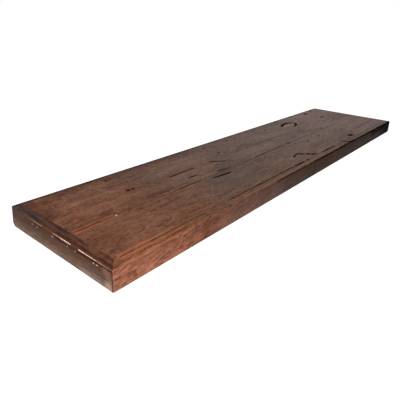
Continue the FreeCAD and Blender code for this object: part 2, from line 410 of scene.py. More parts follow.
@dataclass(frozen=True)
class Groove:
    """A groove, crack or gap in the top: a path with a half-width at each point, in millimetres."""

    points: tuple[tuple[float, float, float], ...]
    steepness: float = 2.0

    def cutter(self, name: str) -> bpy.types.Object:
        """The closed shape that cuts the groove.

        Args:
            name: The cutter's name.

        Returns:
            The cutter, a tube that thins to nothing at its ends.
        """
        curve = bpy.data.curves.new(name, "CURVE")
        curve.dimensions = "3D"
        curve.bevel_depth = MM
        curve.bevel_resolution = 1
        curve.use_fill_caps = True
        spline = curve.splines.new("POLY")
        spline.points.add(len(self.points) - 1)
        for point, (along, back, half) in zip(spline.points, self.points):
            place = SIZES.at((along, back))
            point.co = (place.x, place.y, 0.0, 1.0)
            point.radius = half
        tube = bpy.data.objects.new(name, curve)
        bpy.context.scene.collection.objects.link(tube)
        take(tube)
        bpy.ops.object.convert(target="MESH")
        tube = bpy.context.object
        tube.scale.z = self.steepness
        tube.location.z = SIZES.layer
        settle(tube, name)
        with editing(tube):
            bpy.ops.mesh.select_all(action="SELECT")
            bpy.ops.mesh.remove_doubles(threshold=EXACT)
            bpy.ops.mesh.normals_make_consistent(inside=False)
        return tube


@dataclass(frozen=True)
class Seam:
    """The uneven line between two boards, open wider along some stretches, in millimetres.

    Each stretch holds where it starts and ends, and half its width.
    """

    boards: tuple[str, str]
    back: float
    seed: int
    stretches: tuple[tuple[float, float, float], ...]
    start: float = 19.0
    end: float = 1200.2
    closed: float = 0.35
    taper: float = 9.0
    sway: float = 0.25
    steps: tuple[float, float] = (3.0, 5.5)
    steepness: float = 1.3

    def groove(self) -> Groove:
        """The seam as a groove, stepped along at uneven lengths.

        Returns:
            The groove.
        """
        chance = random.Random(self.seed)
        points = []
        along = self.start
        while along < self.end + 0.1:
            half = self.closed * chance.uniform(0.7, 1.3)
            for first, last, wide in self.stretches:
                inside = min(along - first, last - along)
                if inside > 0:
                    opening = wide * min(1.0, inside / self.taper) ** 0.5
                    half = max(half, opening * chance.uniform(0.75, 1.1))
            points.append((along, self.back + chance.uniform(-self.sway, self.sway), half))
            along += chance.uniform(*self.steps)
        points[0] = (self.start, self.back, self.closed)
        return Groove(tuple(points), self.steepness)


# Shader bench: what lays nodes


class Wiring:
    """Lays nodes in one tree and joins them up."""

    def __init__(self, tree: bpy.types.NodeTree) -> None:
        """Start on an empty tree."""
        self.tree = tree
        tree.nodes.clear()

    def node(self, kind: str, inputs: dict | None = None, **settings) -> bpy.types.Node:
        """Add a node.

        Args:
            kind: The node's type, without its ShaderNode prefix.
            inputs: Plain values or output sockets, by input name or number.
            settings: Properties of the node itself.

        Returns:
            The node.
        """
        prefix = "" if kind.startswith("NodeGroup") else "ShaderNode"
        node = self.tree.nodes.new(prefix + kind)
        for name, value in settings.items():
            setattr(node, name, value)
        for key, value in (inputs or {}).items():
            self.feed(node.inputs[key], value)
        return node

    def feed(self, socket: bpy.types.NodeSocket, value: object) -> None:
        """Give an input a plain value, or join an output to it.

        Args:
            socket: The input.
            value: The value or the output.
        """
        if isinstance(value, bpy.types.NodeSocket):
            self.tree.links.new(value, socket)
        elif socket.type == "RGBA" and len(value) == 3:
            socket.default_value = (*value, 1.0)
        else:
            socket.default_value = value

    def math(self, operation: str, *values: object, clamp: bool = False) -> bpy.types.NodeSocket:
        """The result of a sum on numbers."""
        node = self.node("Math", dict(enumerate(values)), operation=operation, use_clamp=clamp)
        return node.outputs[0]

    def vector(self, operation: str, *values: object) -> bpy.types.NodeSocket:
        """The result of a sum on vectors.

        Args:
            operation: The sum.
            values: Its vectors, then the factor where it scales.

        Returns:
            The output, a number where the sum gives one.
        """
        node = self.node("VectorMath", operation=operation)
        for number, value in enumerate(values):
            self.feed(node.inputs["Scale" if operation == "SCALE" and number else number], value)
        single = operation in ("DOT_PRODUCT", "LENGTH", "DISTANCE")
        return node.outputs["Value" if single else "Vector"]

    def mix(self, factor: object, first: object, second: object) -> bpy.types.NodeSocket:
        """One colour blended into another.

        Args:
            factor: How far, from 0 for the first to 1 for the second.
            first: The first colour.
            second: The second colour.

        Returns:
            The blend.
        """
        node = self.node("Mix", data_type="RGBA")
        for number, value in ((0, factor), (6, first), (7, second)):
            self.feed(node.inputs[number], value)
        return node.outputs[2]

    def ramp(
        self, value: object, low: object, high: object, first: object = 0.0, last: object = 1.0
    ) -> bpy.types.NodeSocket:
        """A value eased from one range into another."""
        inputs = dict(enumerate((value, low, high, first, last)))
        return self.node("MapRange", inputs, interpolation_type="SMOOTHSTEP").outputs[0]

    def split(self, value: object, number: int) -> bpy.types.NodeSocket:
        """One of a vector's three numbers."""
        return self.node("SeparateXYZ", {0: value}).outputs[number]

    def noise(
        self, place: object, cells: float | Place, detail: float = 2.0, rough: float = 0.5
    ) -> bpy.types.NodeOutputs:
        """A cloud pattern, as one value under Fac and as three under Color.

        Args:
            place: Where it is read.
            cells: How many cells it has to a metre, all round or along each axis.
            detail: How many finer layers lie on it.
            rough: How strong those are.

        Returns:
            Its outputs.
        """
        if isinstance(cells, tuple):
            place, cells = self.vector("MULTIPLY", place, cells), 1.0
        inputs = {"Vector": place, "Scale": cells, "Detail": detail, "Roughness": rough}
        return self.node("TexNoise", inputs).outputs

    def push(self, clouds: bpy.types.NodeOutputs, reach: object) -> bpy.types.NodeSocket:
        """A cloud pattern's colour as a shift either way, up to half the reach."""
        return self.vector("SCALE", self.vector("SUBTRACT", clouds["Color"], (0.5,) * 3), reach)

    def relief(self, height: object, depth: float) -> bpy.types.NodeSocket:
        """The normal of a surface with a fine relief, laid on at half strength."""
        inputs = {"Height": height, "Distance": depth, "Strength": 0.5}
        return self.node("Bump", inputs).outputs[0]

    def group(self, name: str, inputs: dict) -> bpy.types.Node:
        """Place a shared node group and set its inputs.

        Args:
            name: The group's name.
            inputs: Plain values or output sockets, by input name.

        Returns:
            The group's node.
        """
        node = self.node("Group", node_tree=bpy.data.node_groups[name])
        for key, value in inputs.items():
            self.feed(node.inputs[key], value)
        return node


@contextmanager
def new_group(
    name: str, inputs: dict[str, str], outputs: Sequence[str]
) -> Iterator[tuple[Wiring, dict, Callable[[str, object], None]]]:
    """Make a shader node group whose outputs are plain values.

    Args:
        name: The group's name.
        inputs: The kind of each input, Vector or Float, by name.
        outputs: The names of its outputs.

    Yields:
        What lays its nodes, its input sockets by name, and what joins an output by name.
    """
    tree = bpy.data.node_groups.new(name, "ShaderNodeTree")
    for key, kind in inputs.items():
        tree.interface.new_socket(key, in_out="INPUT", socket_type=f"NodeSocket{kind}")
    for key in outputs:
        tree.interface.new_socket(key, in_out="OUTPUT", socket_type="NodeSocketFloat")
    wiring = Wiring(tree)
    entry = wiring.node("NodeGroupInput")
    leave = wiring.node("NodeGroupOutput")
    yield (
        wiring,
        {key: entry.outputs[key] for key in inputs},
        lambda key, value: wiring.feed(leave.inputs[key], value),
    )


def new_material(
    name: str, kind: str = "BsdfPrincipled"
) -> tuple[bpy.types.Material, Wiring, bpy.types.Node]:
    """Start a material with one shader on its surface.

    Args:
        name: The material's name.
        kind: The shader's type, without its ShaderNode prefix.

    Returns:
        The material, what lays its nodes, and the shader.
    """
    material = bpy.data.materials.new(name)
    material.use_nodes = True
    lay = Wiring(material.node_tree)
    output = lay.node("OutputMaterial")
    shader = lay.node(kind)
    lay.feed(output.inputs["Surface"], shader.outputs[0])
    return material, lay, shader


def paint(piece: bpy.types.Object, material: bpy.types.Material) -> None:
    """Make a material the only one on a piece."""
    piece.data.materials.clear()
    piece.data.materials.append(material)


class SharedPatterns:
    """The node groups that the shelf's finishes share. Cells are counted to a metre."""

    GROWTH = "Growth rings"
    FIBRES = "Fibres"
    CLOUDS = "Stain clouds"
    LINE = "Along a line"
    RING = "Around a ring"
    PATCH = "In a patch"
    EDGES = "Board edges"
    SCUFFS = "Scuffs"

    PITH_DRIFT_CELLS = (2.2, 7.0, 7.0)
    RING_SHAKE_CELLS = (22.0, 75.0, 75.0)
    RING_SHAKE = 0.0022
    STREAK_CELLS = (20.0, 190.0, 190.0)
    FINE_FIBRE_CELLS = (120.0, 460.0, 460.0)
    PORE_CELLS = (70.0, 1500.0, 1500.0)
    BROAD_CLOUD_CELLS = (5.0, 14.0, 14.0)
    BLOTCH_CELLS = (52.0, 90.0, 90.0)
    SPECK_CELLS = (150.0, 260.0, 260.0)
    SCRATCH_CELLS = (1.0, 14.0, 9.0)
    SOFT_RIM = (1.0, 0.25)
    SOFT_PATCH = (1.0, 0.2)

    def build(self) -> None:
        """Make every group."""
        self.growth()
        self.fibres()
        self.clouds()
        self.line()
        self.ring()
        self.patch()
        self.edges()
        self.scuffs()

    def growth(self) -> None:
        """A tree's growth rings round a wandering pith, for any cut through the wood."""
        inputs = {"Vector": "Vector", "Pith": "Vector", "Width": "Float", "Wander": "Float"}
        with new_group(self.GROWTH, inputs, ["Late wood", "Ring shade"]) as (lay, given, out):
            place = given["Vector"]
            slow = lay.noise(place, self.PITH_DRIFT_CELLS, 1.0, 0.4)
            drift = lay.push(slow, given["Wander"])
            shake = lay.push(lay.noise(place, self.RING_SHAKE_CELLS), self.RING_SHAKE)
            moved = lay.vector("ADD", lay.vector("ADD", place, drift), shake)
            from_pith = lay.vector("SUBTRACT", moved, given["Pith"])
            spoke = lay.vector("MULTIPLY", from_pith, (0, 1, 1))
            count = lay.math("DIVIDE", lay.vector("LENGTH", spoke), given["Width"])
            phase = lay.math("FRACT", count)
            late = lay.ramp(phase, 0.35, 0.9)
            out("Late wood", lay.math("MULTIPLY", late, lay.ramp(phase, 1.0, 0.93)))
            year = lay.node("TexWhiteNoise", {"W": lay.math("FLOOR", count)}, noise_dimensions="1D")
            out("Ring shade", year.outputs["Value"])

    def fibres(self) -> None:
        """Streaks of fibre along the grain, and short open pores."""
        outputs = ["Streaks", "Fine", "Pores"]
        with new_group(self.FIBRES, {"Vector": "Vector"}, outputs) as (lay, given, out):
            place = given["Vector"]
            broad = lay.noise(place, self.STREAK_CELLS, 3.0, 0.65)["Fac"]
            fine = lay.noise(place, self.FINE_FIBRE_CELLS, 2.0, 0.6)["Fac"]
            pores = lay.noise(place, self.PORE_CELLS, 1.0)["Fac"]
            out("Streaks", lay.ramp(broad, 0.35, 0.65))
            out("Fine", lay.ramp(fine, 0.33, 0.67))
            out("Pores", lay.ramp(pores, 0.6, 0.72))

    def clouds(self) -> None:
        """How unevenly the wood drank its stain: broad clouds, and smaller blotches in them."""
        inputs = {"Vector": "Vector", "Seed": "Vector"}
        outputs = ["Broad", "Blotches", "Specks"]
        with new_group(self.CLOUDS, inputs, outputs) as (lay, given, out):
            place = lay.vector("ADD", given["Vector"], given["Seed"])
            broad = lay.noise(place, self.BROAD_CLOUD_CELLS)["Fac"]
            small = lay.noise(place, self.BLOTCH_CELLS, 5.0, 0.72)["Fac"]
            specks = lay.noise(place, self.SPECK_CELLS)["Fac"]
            out("Broad", lay.ramp(broad, 0.33, 0.67))
            out("Blotches", lay.ramp(small, 0.38, 0.62))
            out("Specks", lay.ramp(specks, 0.62, 0.74))

    def line(self) -> None:
        """How near a place is to a straight stretch, 1 on it and 0 a half-width away."""
        inputs = {"Vector": "Vector", "Start": "Vector", "End": "Vector", "Half width": "Float"}
        with new_group(self.LINE, inputs, ["Mask"]) as (lay, given, out):
            run = lay.vector("SUBTRACT", given["End"], given["Start"])
            reach = lay.vector("SUBTRACT", given["Vector"], given["Start"])
            length = lay.vector("DOT_PRODUCT", run, run)
            share = lay.math("DIVIDE", lay.vector("DOT_PRODUCT", reach, run), length, clamp=True)
            away = lay.vector("DISTANCE", reach, lay.vector("SCALE", run, share))
            out("Mask", lay.ramp(lay.math("DIVIDE", away, given["Half width"]), *self.SOFT_RIM))

    def ring(self) -> None:
        """How near a place is to an oval's outline, 1 on it and 0 a half-width away."""
        inputs = {"Vector": "Vector", "Centre": "Vector", "Radii": "Vector", "Half width": "Float"}
        with new_group(self.RING, inputs, ["Mask"]) as (lay, given, out):
            reach = lay.vector("SUBTRACT", given["Vector"], given["Centre"])
            share = lay.vector("LENGTH", lay.vector("DIVIDE", reach, given["Radii"]))
            off = lay.math("ABSOLUTE", lay.math("SUBTRACT", share, 1.0))
            away = lay.math("MULTIPLY", off, lay.vector("LENGTH", reach))
            out("Mask", lay.ramp(lay.math("DIVIDE", away, given["Half width"]), *self.SOFT_RIM))

    def patch(self) -> None:
        """How far a place lies inside a soft oval, 1 well inside and 0 at its rim."""
        inputs = {"Vector": "Vector", "Centre": "Vector", "Radii": "Vector"}
        with new_group(self.PATCH, inputs, ["Mask"]) as (lay, given, out):
            reach = lay.vector("SUBTRACT", given["Vector"], given["Centre"])
            share = lay.vector("LENGTH", lay.vector("DIVIDE", reach, given["Radii"]))
            out("Mask", lay.ramp(share, *self.SOFT_PATCH))

    def edges(self) -> None:
        """How far a place lies from a squared board's nearest edge, and below its nearest face."""
        inputs = {"Vector": "Vector", "Low": "Vector", "High": "Vector"}
        with new_group(self.EDGES, inputs, ["Edge", "Depth"]) as (lay, given, out):
            under = lay.vector("SUBTRACT", given["High"], given["Vector"])
            over = lay.vector("SUBTRACT", given["Vector"], given["Low"])
            gaps = lay.node("SeparateXYZ", {0: lay.vector("MINIMUM", under, over)}).outputs
            least = lay.math("MINIMUM", gaps[0], gaps[1])
            most = lay.math("MAXIMUM", gaps[0], gaps[1])
            out("Edge", lay.math("MAXIMUM", least, lay.math("MINIMUM", most, gaps[2])))
            out("Depth", lay.math("MINIMUM", least, gaps[2]))

    def scuffs(self) -> None:
        """Rubbed scratches and a fine grit, for metal."""
        inputs = {"Vector": "Vector", "Size": "Float"}
        with new_group(self.SCUFFS, inputs, ["Scuffs", "Grit"]) as (lay, given, out):
            place = lay.vector("SCALE", given["Vector"], lay.math("DIVIDE", 1.0, given["Size"]))
            bend = lay.vector("SCALE", lay.noise(place, 2.0)["Color"], 0.6)
            bent = lay.vector("ADD", place, bend)
            scratches = lay.noise(bent, self.SCRATCH_CELLS, 3.0, 0.6)["Fac"]
            out("Scuffs", lay.ramp(scratches, 0.58, 0.75))
            out("Grit", lay.noise(place, 30.0, 2.0, 0.6)["Fac"])


# Marks on the wood


class Tint(Enum):
    """What a mark on the wood looks like, as its colour. A later one lies over those before."""

    WORN = (0.33, 0.112, 0.050)
    PALE = (0.92, 0.66, 0.50)
    CHAFED = (0.36, 0.205, 0.135)
    BUFF = (0.27, 0.140, 0.085)
    SMOKE = (0.084, 0.046, 0.031)
    UMBER = (0.048, 0.019, 0.011)
    POOLED = (0.066, 0.021, 0.009)
    RUST = (0.11, 0.027, 0.011)
    # dark seams and gaps; also the colour of painted shade in crevices and along back edges
    SEAM = (0.026, 0.006, 0.003)
    BLACK = (0.006, 0.004, 0.0035)


TORN_TINTS = (Tint.WORN, Tint.BUFF, Tint.RUST)
DULL_TINTS = (Tint.UMBER, Tint.POOLED, Tint.RUST, Tint.SEAM, Tint.BLACK)


class Mark:
    """A mark or painted shade on the wood, placed in millimetres from the near left corner."""

    GROUP: str

    def inputs(self) -> dict[str, object]:
        """What its node group needs to know of it."""
        raise NotImplementedError

    def mask(self, lay: Wiring, place: bpy.types.NodeSocket) -> bpy.types.NodeSocket:
        """How much of the mark there is at a place."""
        return lay.group(self.GROUP, {"Vector": place, **self.inputs()}).outputs["Mask"]


@dataclass(frozen=True)
class Line(Mark):
    """A straight mark between two spots, with half its width."""

    start: Spot
    end: Spot
    half: float
    strength: float = 1.0

    GROUP = SharedPatterns.LINE

    def inputs(self) -> dict[str, object]:
        """Its ends and half width in metres."""
        start, end = SIZES.at(self.start), SIZES.at(self.end)
        return {"Start": start, "End": end, "Half width": self.half * MM}


@dataclass(frozen=True)
class Ring(Mark):
    """An oval outline on the top, with half the outline's width."""

    centre: Spot
    radii: Spot
    half: float
    strength: float = 1.0

    GROUP = SharedPatterns.RING

    def inputs(self) -> dict[str, object]:
        """Its middle, radii and half width in metres."""
        radii = Vector((*self.radii, max(self.radii))) * MM
        return {"Centre": SIZES.at(self.centre), "Radii": radii, "Half width": self.half * MM}


@dataclass(frozen=True)
class Patch(Mark):
    """A soft oval, as deep as it is broad unless a third radius says so."""

    centre: Spot
    radii: Spot
    strength: float = 1.0

    GROUP = SharedPatterns.PATCH

    def inputs(self) -> dict[str, object]:
        """Its middle and radii in metres."""
        radii = Vector((*self.radii, min(self.radii))[:3]) * MM
        return {"Centre": SIZES.at(self.centre), "Radii": radii}


MarksByTint = dict[Tint, Sequence[Mark]]


@dataclass(frozen=True)
class Stop:
    """Stain and any painted shade at one spot along the grain: its middle tone and its spread."""

    along: float
    middle: Colour
    spread: float = 0.5

    def tone(self, sign: int) -> Colour:
        """The light tone for 1, the dark tone for -1."""
        return tuple(channel * (1.0 + sign * self.spread) for channel in self.middle)


@dataclass(frozen=True)
class Palette:
    """A stain's tones, with any painted shade, from where a board starts to where it ends."""

    stops: tuple[Stop, ...]

    def tones(self, lay: Wiring, along: bpy.types.NodeSocket) -> tuple[object, object]:
        """The light and the dark tone so far along the grain.

        Args:
            lay: What lays the nodes.
            along: How far along the grain.

        Returns:
            The two tones.
        """
        light: object = self.stops[0].tone(1)
        dark: object = self.stops[0].tone(-1)
        for before, after in zip(self.stops, self.stops[1:]):
            share = lay.ramp(along, before.along, after.along)
            light = lay.mix(share, light, after.tone(1))
            dark = lay.mix(share, dark, after.tone(-1))
        return light, dark


@dataclass(frozen=True)
class StainedWood:
    """The finish of one board: its figure, how it took the stain, its marks and its sheen.

    Its faces, from low to high, tell the finish where its arrises and crevices are, and the
    crevices get painted shade. A side that another board meets lies far off. A polished mark of
    negative strength is a dull one.
    """

    name: str
    sides: Palette
    low: Place = (-FAR, -FAR, -FAR)
    high: Place = (FAR, FAR, SIZES.layer)
    top: Palette | None = None
    grain: Grain = Grain.ALONG
    tilt: float = 0.0
    pith: Place = (0.0, -0.15, -0.07)
    ring_width: float = 0.007
    wander: float = 0.05
    figure: float = 0.2
    clouds: float = 0.38
    blotches: float = 0.26
    streaks: float = 0.26
    fine: float = 0.6
    seed: Place = (0.0, 0.0, 0.0)
    # how far inside the board's outer faces the painted crevice shade starts
    crevice_shade_start: float = 0.0003
    roughness: float = 0.45
    specular: float = 0.0
    coat: float = 0.62
    coat_roughness: float = 0.4
    coat_ior: float = 1.5
    polished: tuple[Mark, ...] = ()
    polished_sides: tuple[Mark, ...] = ()
    marks: MarksByTint = field(default_factory=dict)
    side_marks: MarksByTint = field(default_factory=dict)

    LOOKS_UP = (0.6, 0.9)
    CREVICE_SHADE_REACH = 0.0009
    CREVICE_ROUGHNESS = 0.35
    BACK_REACH = (-0.0105, -0.0085)
    BLOTCH_ROUGHNESS = 0.1
    FILM_LEAST, FILM_GAIN = 0.7, 0.6
    LATE_WOOD_RELIEF = -0.2
    FIBRE_RELIEF = {"Streaks": 0.35, "Fine": 0.25, "Pores": -0.35}
    FIBRE_HEIGHT = 0.0002
    FIGURE_LIFT = 0.2
    FAINTEST_RING = 0.3
    SPECK_SHARE, PORE_SHARE, MOST_SPECKED = 0.4, 0.3, 0.6
    JITTER_CELLS, JITTER = 260.0, 0.0022
    SWAY_CELLS, SWAY = 45.0, 0.004
    RAGGED_CELLS, RAGGED = 90.0, 0.004
    TORN_CELLS, TORN_REACH, LEAST_TORN = (60.0, 200.0, 200.0), (0.3, 0.6), 0.5
    RUBBED_REACH = (0.0036, 0.0018)
    RUBBED, RUBBED_GAIN = 0.3, 1.5

    def build(self) -> bpy.types.Material:
        """The finish as a material.

        Returns:
            The material.
        """
        material, lay, shader = new_material(self.name)
        place = lay.node("TexCoord").outputs["Object"]
        turn = (0.0, self.tilt, -self.grain.value)
        turned = lay.node("Mapping", {"Vector": place, "Rotation": turn}).outputs[0]
        growth = lay.group(
            SharedPatterns.GROWTH,
            {"Vector": turned, "Pith": self.pith, "Width": self.ring_width, "Wander": self.wander},
        ).outputs
        fibres = lay.group(SharedPatterns.FIBRES, {"Vector": turned}).outputs
        clouds = lay.group(SharedPatterns.CLOUDS, {"Vector": turned, "Seed": self.seed}).outputs
        edges = lay.group(
            SharedPatterns.EDGES, {"Vector": place, "Low": self.low, "High": self.high}
        ).outputs

        tone = self.tone(lay, growth, fibres, clouds)
        upper: object = 1.0
        if self.top:
            normal = lay.node("NewGeometry").outputs["Normal"]
            upper = lay.ramp(lay.split(normal, 2), *self.LOOKS_UP)
        colour = self.stain_and_shade(lay, turned, tone, upper, fibres, clouds)
        side = lay.math("SUBTRACT", 1.0, upper)
        colour, dull = self.wear(lay, place, side, edges, colour)
        # Painted shade: faces that lie inside the board's outer faces, in grooves, cracks, holes
        # and bores, are darkened; the shade fades out near the back, over the plate's recess.
        crevice_shade = lay.ramp(
            edges["Depth"], self.crevice_shade_start, self.crevice_shade_start + self.CREVICE_SHADE_REACH
        )
        inside = lay.ramp(lay.split(place, 1), *self.BACK_REACH, 1.0, 0.0)
        crevice_shade = lay.math("MULTIPLY", crevice_shade, inside)
        lay.feed(shader.inputs["Base Color"], lay.mix(crevice_shade, colour, Tint.SEAM.value))

        blotchy = self.BLOTCH_ROUGHNESS
        least = self.roughness - blotchy / 2
        rough = lay.math("MULTIPLY_ADD", clouds["Blotches"], blotchy, least)
        rough = lay.math("MULTIPLY_ADD", crevice_shade, self.CREVICE_ROUGHNESS, rough, clamp=True)
        lay.feed(shader.inputs["Roughness"], rough)
        bare = lay.math("MULTIPLY_ADD", dull, -1.0, 1.0, clamp=True)
        film = lay.math("MULTIPLY_ADD", tone, self.FILM_GAIN, self.FILM_LEAST)
        film = lay.math("MULTIPLY", film, bare)
        coat = lay.math("MULTIPLY", film, lay.math("MULTIPLY", upper, self.coat))
        for mark in self.polished:
            coat = lay.math("MULTIPLY_ADD", mark.mask(lay, place), mark.strength, coat)
        for mark in self.polished_sides:
            mask = lay.math("MULTIPLY", mark.mask(lay, place), lay.math("MULTIPLY", side, bare))
            coat = lay.math("MULTIPLY_ADD", mask, mark.strength, coat)
        coat = lay.math("MULTIPLY", coat, lay.math("SUBTRACT", 1.0, crevice_shade), clamp=True)
        lay.feed(shader.inputs["Coat Weight"], coat)
        shader.inputs["Coat Roughness"].default_value = self.coat_roughness
        shader.inputs["Coat IOR"].default_value = self.coat_ior
        shader.inputs["Specular IOR Level"].default_value = self.specular

        height = lay.math("MULTIPLY", growth["Late wood"], self.LATE_WOOD_RELIEF)
        for pattern, share in self.FIBRE_RELIEF.items():
            height = lay.math("MULTIPLY_ADD", fibres[pattern], share, height)
        lay.feed(shader.inputs["Normal"], lay.relief(height, self.FIBRE_HEIGHT))
        return material

    def tone(
        self,
        lay: Wiring,
        growth: bpy.types.NodeOutputs,
        fibres: bpy.types.NodeOutputs,
        clouds: bpy.types.NodeOutputs,
    ) -> bpy.types.NodeSocket:
        """How light the stained wood is, from 0 in its darkest to 1 in its lightest places.

        Args:
            lay: What lays the nodes.
            growth: The growth rings.
            fibres: The fibres.
            clouds: The stain's clouds.

        Returns:
            The tone.
        """
        parts = (
            (clouds["Broad"], self.clouds),
            (clouds["Blotches"], self.blotches),
            (fibres["Streaks"], self.streaks),
            (fibres["Fine"], self.fine),
        )
        lift = self.figure * self.FIGURE_LIFT
        tone: object = 0.5 - sum(share for _, share in parts) / 2 + lift
        for pattern, share in parts:
            tone = lay.math("MULTIPLY_ADD", pattern, share, tone)
        least = self.FAINTEST_RING
        shade = lay.math("MULTIPLY_ADD", growth["Ring shade"], 1.0 - least, least)
        late = lay.math("MULTIPLY", growth["Late wood"], shade)
        return lay.math("MULTIPLY_ADD", late, -self.figure, tone, clamp=True)

    def stain_and_shade(
        self,
        lay: Wiring,
        turned: bpy.types.NodeSocket,
        tone: bpy.types.NodeSocket,
        upper: object,
        fibres: bpy.types.NodeOutputs,
        clouds: bpy.types.NodeOutputs,
    ) -> bpy.types.NodeSocket:
        """The stained wood's colour before its marks, with any painted shade that its palette
        holds.

        Args:
            lay: What lays the nodes.
            turned: The place in the board, turned so that the grain runs along X.
            tone: How light the wood is.
            upper: 1 on the top, 0 on the sides.
            fibres: The fibres.
            clouds: The stain's clouds.

        Returns:
            The colour.
        """
        along = lay.split(turned, 0)
        light, dark = self.sides.tones(lay, along)
        if self.top:
            top_light, top_dark = self.top.tones(lay, along)
            light = lay.mix(upper, light, top_light)
            dark = lay.mix(upper, dark, top_dark)
        colour = lay.mix(tone, dark, light)
        specks = lay.math("MULTIPLY", clouds["Specks"], self.SPECK_SHARE)
        specks = lay.math("MULTIPLY_ADD", fibres["Pores"], self.PORE_SHARE, specks)
        specks = lay.math("MINIMUM", specks, self.MOST_SPECKED)
        return lay.mix(specks, colour, Tint.UMBER.value)

    def wear(
        self,
        lay: Wiring,
        place: bpy.types.NodeSocket,
        side: bpy.types.NodeSocket,
        edges: bpy.types.NodeOutputs,
        colour: bpy.types.NodeSocket,
    ) -> tuple[bpy.types.NodeSocket, object]:
        """The colour with its rubbed arrises and its marks.

        Each mask joins the total as soon as it is laid, because Cycles holds only so many
        values at once.

        Args:
            lay: What lays the nodes.
            place: The place in the board.
            side: 0 on the top, 1 on the sides.
            edges: How far the place is from the board's edges.
            colour: The stained wood's colour.

        Returns:
            The colour, and a mask of the marks that are dull.
        """
        jitter = lay.push(lay.noise(place, self.JITTER_CELLS, 2.0, 0.6), self.JITTER)
        sway = lay.push(lay.noise(place, self.SWAY_CELLS, 1.0), self.SWAY)
        shifted = lay.vector("ADD", lay.vector("ADD", place, jitter), sway)
        ragged = lay.noise(place, self.RAGGED_CELLS, 3.0, 0.6)["Fac"]
        ragged = lay.math("MULTIPLY_ADD", ragged, self.RAGGED, edges["Edge"])
        rub = lay.math("MULTIPLY", lay.ramp(ragged, *self.RUBBED_REACH), self.RUBBED)
        colour = lay.mix(rub, colour, lay.vector("SCALE", colour, self.RUBBED_GAIN))
        torn = lay.ramp(lay.noise(place, self.TORN_CELLS)["Fac"], *self.TORN_REACH)
        torn = lay.math("MULTIPLY_ADD", torn, 1.0 - self.LEAST_TORN, self.LEAST_TORN)
        dull: object = 0.0
        for tint in Tint:
            total: object = None
            for marks in (self.marks, self.side_marks):
                for mark in marks.get(tint, ()):
                    mask = lay.math("MULTIPLY", mark.mask(lay, shifted), mark.strength)
                    if marks is self.side_marks:
                        mask = lay.math("MULTIPLY", mask, side)
                    total = mask if total is None else lay.math("MAXIMUM", total, mask)
            if total is None:
                continue
            if tint in TORN_TINTS:
                total = lay.math("MULTIPLY", total, torn)
            colour = lay.mix(total, colour, tint.value)
            if tint in DULL_TINTS:
                dull = lay.math("MAXIMUM", dull, total)
        return colour, dull


# Metal finishes


@dataclass(frozen=True)
class Metal:
    """A metal or filler finish: its two tones, sheen and scuffs, and its tone below mid height."""

    name: str
    base: Colour
    scuffed: Colour
    metallic: float
    roughness: float
    scuff_size: float
    grit: float
    below: Colour | None = None

    SCUFF_ROUGHNESS = 0.15
    GRIT_ROUGHNESS = 0.12

    def build(self) -> bpy.types.Material:
        """The finish as a material.

        Returns:
            The material.
        """
        material, lay, shader = new_material(self.name)
        place = lay.node("TexCoord").outputs["Object"]
        inputs = {"Vector": place, "Size": self.scuff_size}
        worn = lay.group(SharedPatterns.SCUFFS, inputs).outputs
        colour = lay.mix(worn["Scuffs"], self.base, self.scuffed)
        if self.below:
            upper_half = lay.math("GREATER_THAN", lay.split(place, 2), 0.0)
            colour = lay.mix(upper_half, self.below, colour)
        lay.feed(shader.inputs["Base Color"], colour)
        rough = lay.math("MULTIPLY_ADD", worn["Scuffs"], self.SCUFF_ROUGHNESS, self.roughness)
        rough = lay.math("MULTIPLY_ADD", worn["Grit"], self.GRIT_ROUGHNESS, rough)
        lay.feed(shader.inputs["Roughness"], rough)
        shader.inputs["Metallic"].default_value = self.metallic
        lay.feed(shader.inputs["Normal"], lay.relief(worn["Grit"], self.grit))
        return material


# Where the boards are open, cracked or holed, in millimetres from the near left corner

FRONT_JOINT = 19.05
MIDDLE_SEAM = 124.35
BACK_SEAM = 182.95
SHELF_BACK = 285.75

SEAMS = (
    Seam(
        ("front_edge_board", "top_plank_front"),
        FRONT_JOINT,
        3,
        (
            (24, 222, 0.9),
            (222, 292, 0.5),
            (292, 548, 1.4),
            (549, 606, 3.4),
            (612, 633, 3.2),
            (634, 700, 0.8),
            (700, 790, 2.6),
            (800, 1190, 0.5),
        ),
    ),
    Seam(
        ("top_plank_front", "top_plank_middle"),
        MIDDLE_SEAM,
        5,
        (
            (26, 102, 0.9),
            (128, 154, 0.9),
            (154, 262, 0.5),
            (262, 330, 1.8),
            (334, 354, 0.8),
            (388, 444, 1.5),
            (536, 694, 1.9),
            (698, 728, 3.2),
            (728, 890, 0.9),
        ),
    ),
    Seam(
        ("top_plank_middle", "top_plank_back"),
        BACK_SEAM,
        8,
        ((292, 378, 2.4), (545, 552, 1.2), (586, 604, 1.8), (636, 772, 1.2)),
    ),
)

